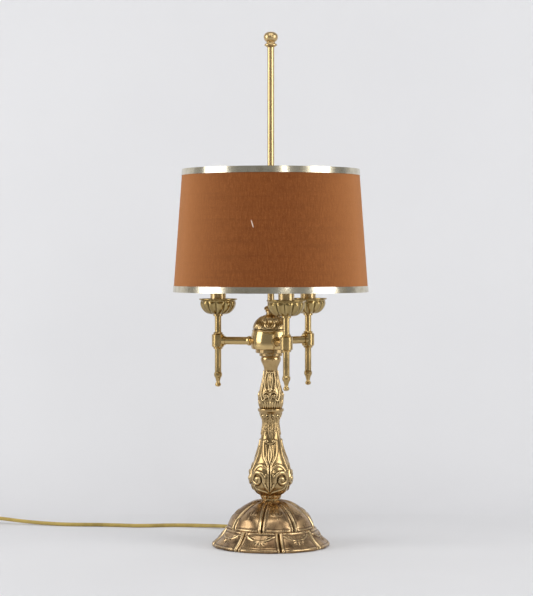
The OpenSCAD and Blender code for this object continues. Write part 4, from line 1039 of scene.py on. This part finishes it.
@dataclass
class MainsCord:
    """The gold mains cord, laid from the base through its in-line switch and its coil to its plug, and the
    strap round the coil.
    """

    cupboard: FinishCupboard
    cord_r: float = 3.0
    exit_turn: float = 77.5
    exit_z: float = 8.0
    switch_near: float = -475.0
    switch_far: float = -529.0
    switch_y: float = 242.0
    switch_axis: float = 9.5
    coil_x: float = -600.0
    coil_y: float = 200.0
    coil_r: float = 42.0
    coil_pitch: float = 6.6
    coil_loops: float = 5.25
    coil_low: float = 3.95
    plug_y: float = 124.0
    plug_axis: float = 6.85
    strap_reach: tuple[float, float] = (21.4, 45.3)
    strap_height: tuple[float, float] = (0.8, 13.7)
    strap_t: float = 0.8
    strap_w: float = 8.0
    strap_turn: float = math.radians(-45)

    def lead_route(self) -> list[tuple[float, ...]]:
        """The middle of the cord from the base's strain relief to the switch."""
        a = math.radians(self.exit_turn)
        start = [(s * math.cos(a), s * math.sin(a), self.exit_z) for s in (99.0, 106.0, 113.0)]
        across_table = [
            (26, 122, 7.2), (23, 138, 5.6), (8, 152, 4.4), (-16, 162, 4), (-45, 171, 4.2), (-75, 181, 4.5),
            (-104, 193, 3.8), (-132, 202, 3.2), (-162, 205, 3), (-190, 201, 3), (-220, 199, 3),
            (-250, 205, 3), (-280, 210, 3), (-310, 212, 3), (-340, 216, 3), (-370, 224, 3.5),
            (-400, 232, 4.8), (-428, 238, 7.2),
        ]
        end = [
            (self.switch_near + 30, self.switch_y - 0.6, self.switch_axis - 0.7),
            (self.switch_near + 20, self.switch_y, self.switch_axis),
            (self.switch_near + 2, self.switch_y, self.switch_axis),
        ]
        return start + flow(across_table, 2) + end

    def coil_point(self, t: float) -> tuple[float, float, float]:
        """The middle of the cord after t loops of the coil."""
        r = self.coil_r - self.coil_pitch * min(t, self.coil_loops - t)
        a = math.radians(90 + 360 * t)
        share = min(max((t - self.coil_loops / 2 + 0.25) / 0.5, 0), 1)
        lift = share * share * (3 - 2 * share) * self.coil_pitch
        return (self.coil_x + r * math.cos(a), self.coil_y + r * math.sin(a), self.coil_low + lift)

    def stored_route(self) -> list[tuple[float, ...]]:
        """The middle of the cord from the switch, through the coil, to the plug."""
        link = [
            (self.switch_far - 2, self.switch_y, self.switch_axis),
            (self.switch_far - 20, self.switch_y, self.switch_axis),
            (-560, 242, 8.6), (-573, 242, 6.2), (-585, 242, 4.5),
        ]
        coil = [self.coil_point(k / 24) for k in range(round(self.coil_loops * 24) + 1)]
        x = self.coil_x - self.coil_r
        tail = [
            (x, 188, 10.55), (x, 182, 10.2), (x, 170, 9), (x, 160, 7.8), (x, 152, 7),
            (x, self.plug_y + 20, self.plug_axis), (x, self.plug_y + 2, self.plug_axis),
        ]
        return link + coil + tail

    def lay(self, name: str, route: list[tuple[float, ...]], nodes: tuple[str, ...]) -> bpy.types.Object:
        """Lays a length of cord along a route as one smooth curve."""
        data = bpy.data.curves.new(name, "CURVE")
        data.dimensions = "3D"
        data.bevel_depth = self.cord_r * MM
        data.bevel_resolution = 5
        data.resolution_u = 6
        data.use_fill_caps = True
        line = data.splines.new("BEZIER")
        line.bezier_points.add(len(route) - 1)
        for point, at in zip(line.bezier_points, route):
            point.co = Vector(at) * MM
            point.handle_left_type = point.handle_right_type = "AUTO"
        data.materials.append(self.cupboard.finishes["cord_sheath"])
        piece = bpy.data.objects.new(name, data)
        bpy.context.scene.collection.objects.link(piece)
        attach(piece, "stand")
        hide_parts(*nodes)
        LOG.info("%s: %d points", name, len(route))
        return piece

    @staticmethod
    def length(route: list[tuple[float, ...]]) -> float:
        """The length of a route in metres."""
        return sum((Vector(b) - Vector(a)).length for a, b in zip(route, route[1:])) * MM

    def strap(self) -> None:
        """Winds the strap round the coil at one place: a flat band with rounded corners."""
        (near, far), (foot, top) = self.strap_reach, self.strap_height
        bm = bmesh.new()
        middle = Matrix.Translation(((near + far) / 2, 0, (foot + top) / 2))
        for grown in (self.strap_t, 0.0):
            size = (far - near + 2 * grown, self.strap_w, top - foot + 2 * grown, 1)
            bmesh.ops.create_cube(bm, size=1.0, matrix=middle @ Matrix.Diagonal(size))
        ends = [f for f in bm.faces if abs(f.normal.y) > 0.9]
        edges = [[e for f in ends if f.normal.y * side > 0 for e in f.edges] for side in (-1, 1)]
        bmesh.ops.delete(bm, geom=ends, context="FACES_ONLY")
        for loops in edges:
            bmesh.ops.bridge_loops(bm, edges=loops)
        bmesh.ops.recalc_face_normals(bm, faces=bm.faces[:])
        corners = [e for e in bm.edges if abs((e.verts[0].co - e.verts[1].co).normalized().y) > 0.9]
        bmesh.ops.bevel(bm, geom=corners, offset=0.7, segments=3, affect="EDGES", profile=0.5)
        where = Matrix.Translation((self.coil_x, self.coil_y, 0)) @ Matrix.Rotation(self.strap_turn, 4, "Z")
        bmesh.ops.transform(bm, matrix=Matrix.Scale(MM, 4) @ where, verts=bm.verts[:])
        set_out("coil_strap", bm, self.cupboard.on("tie_strap", "stand", "cord_tie"), 50)

    def build(self) -> None:
        lead, stored = self.lead_route(), self.stored_route()
        first = self.lay("mains_cord_lead", lead, ("cord_lead",))
        self.strap()
        second = self.lay("mains_cord_coil", stored, ("cord_link", "cord_coil", "cord_tail"))


# The base -------------------------------------------------------------------------------------


@dataclass
class CarvedBase:
    """The lobed casting: two tiers of eight raised panels."""

    cupboard: FinishCupboard
    rim_r: float = 89.0
    tier_r: float = 67.5
    tier_z: float = 28.0
    top_z: float = 70.5
    crown_r: float = 16.0
    panels: int = 8
    lower_groove: float = -80.0
    columns: int = 480

    FLARE = (
        (0, 0.98), (0.05, 1), (0.11, 0.99), (0.2, 0.9), (0.31, 0.735), (0.45, 0.545), (0.63, 0.345),
        (0.83, 0.17), (1, 0.04),
    )
    DOME = (
        (0, 1), (0.12, 0.985), (0.26, 0.925), (0.4, 0.85), (0.54, 0.735), (0.67, 0.605), (0.79, 0.46),
        (0.89, 0.295), (0.96, 0.13), (1, 0),
    )

    def outline(self) -> tuple[Skin, float]:
        """The outside from the rim to the crown over the panels, and the run of the ledge."""
        low, high = 1.0, self.tier_z - 0.6
        flare = [
            (self.tier_r + (self.rim_r - self.tier_r) * share, low + (high - low) * s)
            for s, share in self.FLARE
        ]
        edge = self.tier_r - 0.9
        dome = [
            (self.crown_r + (edge - self.crown_r) * share, self.tier_z + (self.top_z - self.tier_z) * s)
            for s, share in self.DOME
        ]
        skin = Skin(flow(flare, 8) + [(edge + 0.1, self.tier_z - 0.35)] + flow(dome, 8), 0.72)
        return skin, skin.run_at(self.tier_z - 0.4)

    def lower_panels(self, skin: Skin, ledge: float) -> Carving:
        """Grooves, raised borders, swag and three-lobed leaf of the lower tier.

        Args:
            skin: the casting's outline.
            ledge: run of the ledge between the tiers.

        Returns:
            The relief of one panel.
        """
        work = Carving(skin, self.panels, self.lower_groove + 180 / self.panels, 0, ledge)

        def frame_lines(edge: np.ndarray, run: np.ndarray) -> np.ndarray:
            """Groove, border and inner line beside it, and the borders along the rim and the ledge."""
            top = ledge - run
            groove = swell(edge, 0, 1.3, -2.6) + swell(edge, 0, 3.4, -0.5)
            border = swell(edge, 3.7, 1.2, 0.75)
            inner = swell(edge, 6.1, 1.0, -0.5)
            away = np.clip((edge - 5.5) / 3, 0, 1)
            rim = away * (swell(run, 3.2, 1.3, 0.55) + swell(run, 6.0, 1.1, -0.5))
            lip = away * (swell(top, 2.4, 1.2, 0.6) + swell(top, 4.8, 1.0, -0.45))
            fall = 0.9 * np.clip(1 - (edge - 16) ** 2 / 260, 0, 1)
            return groove + border + inner + rim + lip + fall

        hang = ((17.0, 6.5), (12.5, 10.5), (7.5, 13.8), (3.0, 14.6), (0.0, 14.0))
        curl = ((12.0, 7.5), (9.0, 8.5), (6.5, 11.0), (6.8, 12.8))
        lines = [(hang, (1.5, 1.7, 1.5, 1.2), 1.15), (curl, (0.7, 0.9, 0.6), 0.7)]
        for reach, drop in ((0.0, 9.0), (4.2, 7.2), (6.4, 4.0)):
            leaf = ((reach * 0.2, 15.0), (reach * 0.65, 15.0 + drop * 0.5), (reach, 15.0 + drop))
            lines.append((leaf, (0.5, 1.5, 1.1, 0.4), 1.0))
        for points, widths, height in lines:
            middle = tuple((turn, ledge - down) for turn, down in points)
            work.stroke(Stroke(middle, widths, height), by_height=False)
        work.add(frame_lines)
        return work

    def upper_panels(self, skin: Skin, ledge: float) -> Carving:
        """Grooves, double borders and the small spray of the upper tier.

        Args:
            skin: the casting's outline.
            ledge: run of the ledge between the tiers.

        Returns:
            The relief of one panel.
        """
        work = Carving(skin, self.panels, self.lower_groove, ledge, float(skin.run[-1]))

        def frame_lines(edge: np.ndarray, run: np.ndarray) -> np.ndarray:
            """Groove, border and inner line beside it, and the pillow between them."""
            up = run - ledge
            fade = np.clip((float(skin.run[-1]) - run) / 14, 0.25, 1)
            groove = swell(edge, 0, 1.25, -2.1) + swell(edge, 0, 3.0, -0.5)
            border = swell(edge, 3.4, 1.15, 0.65)
            inner = swell(edge, 5.7, 1.0, -0.6)
            away = np.clip((edge - 5.2) / 3, 0, 1)
            sill = away * (swell(up, 3.0, 1.3, 0.5) + swell(up, 5.6, 1.1, -0.55))
            half = np.maximum(math.radians(180 / self.panels) * np.interp(run, skin.run, skin.r), 7)
            across = (half - edge) / np.maximum(half - 5, 1)
            pillow = 1.3 * np.clip(1 - across**2, 0, 1) * np.clip((up - 5) / 14, 0, 1)
            return (groove + border + inner + sill + pillow) * fade

        for turn, up, long in ((0.0, 36.0, 9.0), (5.0, 35.0, 7.0), (9.5, 32.5, 5.0), (0.0, 25.0, 5.0)):
            tip = ledge + up
            spray = ((turn * 0.5, tip - long), (turn, tip - long / 2), (turn * 1.1, tip))
            work.stroke(Stroke(spray, (0.4, 1.1, 0.4), 0.6), by_height=False)
        work.add(frame_lines)
        return work

    def build(self) -> None:
        """Turns and carves the casting."""
        skin, ledge = self.outline()
        under = [(5.1, self.top_z), (5.1, 1.65), (82.3, 1.65), (82.3, 0.7), (87.0, 0.7)]
        bm = turn_about(self.columns, under + skin.points(), closed=True)
        proud = carve(
            bm, skin, [self.lower_panels(skin, ledge), self.upper_panels(skin, ledge)], 15.0, 1.6,
            self.lower_groove, 2 * self.panels,
        )
        set_out("carved_base", bm, self.cupboard.on("base_brass", "stand", "base_casting"), 70, proud)


# The stem -------------------------------------------------------------------------------------


@dataclass
class CarvedStem:
    """The lower baluster and the upper vase, with their scrolls, tulips and leaves."""

    cupboard: FinishCupboard
    foot_z: float = 70.5
    vase_z: float = 210.5
    front: float = -94.0
    belly: float = 32.2
    neck: float = 12.3

    def baluster_outline(self) -> list[tuple[float, float]]:
        """The baluster from its foot to its flange."""
        rise = (
            (0.057, 0.22), (0.085, 0.55), (0.125, 0.77), (0.17, 0.925), (0.22, 0.99), (0.265, 1),
            (0.32, 0.97), (0.375, 0.84), (0.43, 0.69), (0.48, 0.53), (0.53, 0.4), (0.58, 0.29),
            (0.64, 0.19), (0.7, 0.13), (0.76, 0.07), (0.82, 0.01), (0.86, 0.01),
        )
        points = [(14.5, 0.0), (14.5, 2.8)]
        points += [(self.neck + (self.belly - self.neck) * share, up * 140.0) for up, share in rise]
        points += [(13.84, 126.0), (16.5, 131.6)]
        top = [(19.2, 135.4), (19.9, 136.2), (20.0, 137.2), (20.0, 139.0), (19.6, 139.8), (19.0, 140.0)]
        return [(r, z + self.foot_z) for r, z in flow(points, 5) + flow(top, 3)]

    def vase_outline(self) -> list[tuple[float, float]]:
        """The vase from its foot to the collar under the hub."""
        high, belly, neck, collar = 80.0, 18.5, 10.4, 15.5
        body = (
            (0.62, 0), (0.85, 0.04), (1, 0.11), (1, 0.21), (0.86, 0.3), (0.6, 0.4), (0.34, 0.5),
            (0.13, 0.61), (0, 0.7),
        )
        flare = ((0.1, 0.78), (0.55, 0.85), (0.93, 0.91), (1, 0.955), (0.7, 1))
        points = [(neck + (belly - neck) * share, up * high) for share, up in body]
        points += [(neck + (collar - neck) * share, up * high) for share, up in flare]
        return [(r, z + self.vase_z) for r, z in flow(points, 6)]

    def baluster_carving(self, skin: Skin) -> Carving:
        """Scrolls on the belly, a tulip above them and leaves round the neck."""
        work = Carving(skin, 3, self.front, 0, skin.run_at(205.5))
        lines = (
            Stroke(
                ((6, 119), (17, 124), (30, 125.5), (44, 121.5), (54, 112), (57.5, 100)),
                (1.6, 2.6, 2.6, 1.8), 1.2,
            ),
            volute((37, 104), 12.6, 31.8, 1.3, 195, 2.3, 3.3),
            Stroke(((3.5, 86), (9, 91), (15, 98)), (1.4, 2.0, 1.6), 1.9),
            Stroke(((4, 82.5), (14, 84.5), (28, 86.5), (42, 88.5), (52, 94)), (1.1, 1.8, 1.8, 1.0), 1.4),
            Stroke(((5, 93), (8, 103), (9, 112)), (0.8, 1.5, 0.7), 1.0),
            Stroke(
                (
                    (3.4, 79), (3.4, 95), (3.8, 112), (5, 123.6), (11, 131), (19, 137), (28, 147), (33, 155),
                    (35, 161),
                ),
                (1.2, 1.2, 1.3, 1.8, 3.0, 4.2, 4.0, 2.2), 2.0,
            ),
            Stroke(((0, 157), (10, 157.4), (20, 158.4)), (0.9, 0.9, 0.8), 1.1),
            Stroke(((60, 118), (60, 128), (60, 140), (60, 152)), (0.8, 2.6, 2.4, 0.5), 1.2),
            Stroke(((60, 78), (60, 86), (60, 94)), (1.4, 1.8, 0.6), 1.2),
        )
        for line in lines:
            work.stroke(line)
        work.lens(0, 127, 156, 3.1, 1.35, 0.8)
        work.bead(37, 104, 4.6, 2.9)
        work.bead(22, 161, 3.4, 2.5)
        for turn, low, high, half in ((0, 166, 203, 4.0), (30, 170, 203, 3.3), (60, 164, 203, 3.8)):
            work.lens(turn, low, high, half, 1.25, 0.7)
            for up in range(int(low) + 7, int(high) - 5, 5):
                for side in (-1, 1):
                    start, end = turn + side * 1.5, turn + side * 12
                    if 0 <= min(start, end) and max(start, end) <= 60:
                        work.stroke(Stroke(((start, up), (end, up + 4.5)), (0.45, 0.3), -0.4))
        work.stroke(volute((15, 198), 3.4, 13.0, 1.1, 200, 1.6, 1.0))
        work.stroke(volute((45, 198), 3.4, 13.0, 1.1, 340, 1.6, 1.0, 1))
        work.stroke(Stroke(((0, 88), (0, 100), (0, 122)), (0.5, 0.7, 0.5), -1.1))

        def foot(edge: np.ndarray, run: np.ndarray) -> np.ndarray:
            """Small scallops round the foot."""
            turn = 60 - np.degrees(edge / np.interp(run, skin.run, skin.r))
            lobes = np.abs(np.cos(np.radians(turn * 6)))
            return lobes * swell(run, skin.run_at(75.5), 2.6, 1.0)

        work.add(foot)
        return work

    def vase_carving(self, skin: Skin) -> Carving:
        """Leaf tips, paired scroll eyes and a slim tulip."""
        work = Carving(skin, 3, self.front, 0, skin.run_at(277))
        for turn in (0, 12, 24, 36, 48, 60):
            work.lens(turn, 211.2, 221 if turn % 24 else 224, 1.9, 1.1, 0.5)
        lines = (
            volute((20, 231), 5.6, 18.2, 1.25, 160, 1.9, 1.5),
            Stroke(((17, 237), (30, 243), (36, 252), (33, 262), (27, 268)), (1.3, 1.7, 1.5, 0.9), 1.4),
            Stroke(
                ((26, 226), (37, 223), (47, 228), (53, 238), (50, 250), (44, 258)),
                (1.0, 1.6, 1.6, 0.8), 1.3,
            ),
            Stroke(((4, 237), (8, 245), (14, 255), (17, 264)), (0.8, 1.2, 1.2, 0.9), 1.3),
            Stroke(((0, 239), (7, 240.5), (14, 240)), (0.8, 0.8, 0.6), 0.9),
        )
        for line in lines:
            work.stroke(line)
        work.lens(0, 241, 267, 2.5, 1.3, 0.7)
        work.lens(0, 222, 237, 2.8, 1.2, 0.6)
        work.lens(60, 224, 262, 3.0, 1.3, 0.8)
        work.bead(20, 231, 2.5, 2.7)
        work.bead(16, 266, 2.0, 1.8)
        work.bead(44, 259, 1.4, 1.2)
        return work

    def build(self) -> None:
        """Turns and carves both castings."""
        for name, outline, carving, columns, node, step in (
            ("carved_baluster", self.baluster_outline(), self.baluster_carving, 324, "lower_baluster", 0.7),
            ("carved_vase", self.vase_outline(), self.vase_carving, 252, "upper_vase", 0.6),
        ):
            skin = Skin(outline, step)
            foot, top = outline[0][1], outline[-1][1]
            bm = turn_about(columns, [(5.1, top), (5.1, foot)] + skin.points(), closed=True)
            proud = carve(bm, skin, [carving(skin)], 8.0)
            set_out(name, bm, self.cupboard.on("stem_brass", "stand", node), 75, proud)


# The hub and its cups -------------------------------------------------------------------------


@dataclass
class TurnedBowl:
    """The hub's lower half, which the arms screw into."""

    cupboard: FinishCupboard
    foot_z: float = 301.5

    def build(self) -> None:
        """Turns the bowl as a smooth shell."""
        outside = [
            (28.6, 0.0), (29.7, 1.4), (30.6, 5.4), (30.8, 11.3), (30.5, 16.7), (29.7, 22.1), (28.4, 27.0),
        ]
        inside = [
            (26.4, 27.0), (27.6, 22.0), (28.4, 14.0), (27.8, 5.0), (26.0, 2.6), (5.2, 2.6), (5.2, 0.0),
        ]
        outline = [(r, z + self.foot_z) for r, z in flow(outside, 6) + inside]
        place = self.cupboard.on("polished_brass", "stand", "hub_bowl", finish="bowl_brass")
        set_out("turned_bowl", turn_about(192, outline, closed=True), place, 40)


@dataclass
class FlutedDome:
    """The hub's upper half: broad leaves round the crown and a bead along the seam."""

    cupboard: FinishCupboard
    seam_z: float = 328.5
    front: float = -94.0
    columns: int = 288

    def outline(self) -> list[tuple[float, float]]:
        """The dome from the seam to the crown."""
        seam = [(28.4, 0), (29.0, 0.8), (28.9, 2.1), (27.5, 2.7), (27.3, 3.2)]
        crown = [(27.3, 3.2), (26.2, 8.5), (23.8, 13.75), (19.2, 19.0), (13.9, 22.5), (9.4, 25.0)]
        return [(r, z + self.seam_z) for r, z in seam[:-1] + flow(crown, 5)]

    def build(self) -> None:
        """Turns and carves the dome."""
        skin = Skin(self.outline(), 0.55)
        work = Carving(skin, 6, self.front, 0, float(skin.run[-1]))
        for turn, low, high, half, height in ((0, 333.5, 352.6, 5.0, 1.0), (30, 332.6, 351.5, 3.4, 0.9)):
            work.lens(turn, low, high, half, height, 0.7)
        work.stroke(Stroke(((5, 334), (13, 337), (19, 342), (22, 348)), (0.8, 1.3, 1.2, 0.6), 0.8))
        work.stroke(Stroke(((0, 332.2), (15, 332.2), (30, 332.2)), (0.7, 0.7, 0.7), -0.6))
        inside = [(5.2, 25.0), (5.2, 22.9), (7.6, 22.9), (12.8, 20.6), (25.0, 4.0), (26.4, 0.0)]
        shell = [(r, z + self.seam_z) for r, z in inside] + skin.points()
        bm = turn_about(self.columns, shell, closed=True)
        proud = carve(bm, skin, [work], 9.6)
        place = self.cupboard.on("polished_brass", "stand", "hub_dome", finish="stem_brass")
        set_out("fluted_dome", bm, place, 60, proud)


@dataclass
class GadroonedCups:
    """The three drip cups: twelve lobes under a thin turned lip."""

    cupboard: FinishCupboard
    reach: float = 84.0
    foot_z: float = 354.0
    lobes: int = 12
    lobe_turn: float = 8.0

    ARMS = (("front", -74.0), ("right", 46.0), ("left", 166.0))
    SIDE = (
        (9.15, 0.0, 0.1), (16.5, 1.45, 0.35), (21.8, 5.3, 0.75), (25.7, 10.8, 1.0), (27.3, 16.3, 1.0),
        (26.9, 20.2, 0.35), (27.4, 21.6, 0.0), (29.5, 22.6, 0.0), (29.5, 24.0, 0.0),
    )
    INSIDE = ((28.9, 24.3), (27.0, 24.0), (23.6, 17.3), (18.6, 8.2), (13.0, 3.5), (5.15, 3.5), (5.15, 0.0))

    def relief(self, skin: Skin, centre: float) -> Carving:
        """Deep rounded valleys between the lobes, fading at the foot and under the lip."""
        work = Carving(skin, self.lobes, centre, 0, float(skin.run[-1]))
        heights = [z for _, z, _ in self.SIDE]
        shares = [share for _, _, share in self.SIDE]

        def valleys(edge: np.ndarray, run: np.ndarray) -> np.ndarray:
            """The valley at each repeat's edge and the swell of the lobe beside it."""
            height = np.interp(run, skin.run, skin.z)
            depth = np.interp(height, heights, shares)
            half = np.radians(180 / self.lobes) * np.interp(run, skin.run, skin.r)
            across = np.clip(edge / half, 0, 1)
            return depth * (-2.3 * (1 - across) ** 2.6 + 0.35 * np.sin(across * math.pi / 2))

        work.add(valleys)
        return work

    def build(self) -> None:
        """Turns each cup, works its lobes and sets it on its arm."""
        body = flow([(r, z) for r, z, _ in self.SIDE[:7]], 5)
        lip = [(r, z) for r, z, _ in self.SIDE[7:]]
        for side, turn in self.ARMS:
            skin = Skin(body + lip, 0.5)
            centre = turn + self.lobe_turn + 180 / self.lobes
            bm = turn_about(240, list(reversed(self.INSIDE)) + list(reversed(skin.points())), closed=True)
            proud = carve(bm, skin, [self.relief(skin, centre)], 9.3)
            a = math.radians(turn)
            where = Vector((self.reach * math.cos(a), self.reach * math.sin(a), self.foot_z)) * MM
            bmesh.ops.translate(bm, verts=bm.verts[:], vec=where)
            place = self.cupboard.on("stem_brass", "stand", f"cup_{side}", finish="cup_brass")
            set_out(f"gadrooned_cup_{side}", bm, place, 50, proud)


# Cloth ----------------------------------------------------------------------------------------


@dataclass
class Cloths:
    """The shade's velvet cover and the felt under the base."""

    cupboard: FinishCupboard
    shade_z: float = 389.0
    shade_h: float = 188.0
    low_r: float = 150.0
    high_r: float = 136.5
    felt_r: float = 82.0
    columns: int = 256

    def cover(self) -> None:
        """Turns the velvet cover, with the cloth's own coordinates in metres and their seam behind."""
        slope = (self.high_r - self.low_r) / self.shade_h
        rows, under = 24, 0.6
        heights = [under + (self.shade_h - 2 * under) * k / rows for k in range(rows + 1)]
        outside = [(self.low_r - under + slope * up, self.shade_z + up) for up in heights]
        inside = [(r - 1.4, z) for r, z in reversed(outside)]
        bm = turn_about(self.columns, outside + inside, closed=True)
        cloth = bm.loops.layers.uv.new("cloth")
        for face in bm.faces:
            middle = math.atan2(face.calc_center_median().x, -face.calc_center_median().y)
            for loop in face.loops:
                turn = math.atan2(loop.vert.co.x, -loop.vert.co.y)
                turn += math.tau * round((middle - turn) / math.tau)
                loop[cloth].uv = (turn * self.low_r * MM, loop.vert.co.z)
        set_out("velvet_cover", bm, self.cupboard.on("velvet", "shade", "shade_cover"), 40)

    def felt(self) -> None:
        """Cuts the felt, with a softly worn edge."""
        r = self.felt_r
        outline = [
            (0, 0), (r - 1.2, 0), (r - 0.4, 0.15), (r, 0.5), (r, 1.1), (r - 0.3, 1.45), (r - 0.6, 1.5),
            (0, 1.5),
        ]
        set_out("felt_disc", turn_about(96, outline), self.cupboard.on("felt", "stand", "felt_pad"), 50)

    def build(self) -> None:
        """Makes both."""
        self.cover()
        self.felt()


def main() -> None:
    """Builds the lamp and its studio."""
    logging.basicConfig(level=logging.INFO, format="%(name)s: %(message)s")
    studio = Studio()
    studio.set_camera()
    cupboard = FinishCupboard()
    cupboard.dress_frame()
    MainsCord(cupboard).build()
    CarvedBase(cupboard).build()
    CarvedStem(cupboard).build()
    TurnedBowl(cupboard).build()
    FlutedDome(cupboard).build()
    GadroonedCups(cupboard).build()
    Cloths(cupboard).build()
    studio.set_room()
    studio.light()


if __name__ == "__main__":
    main()
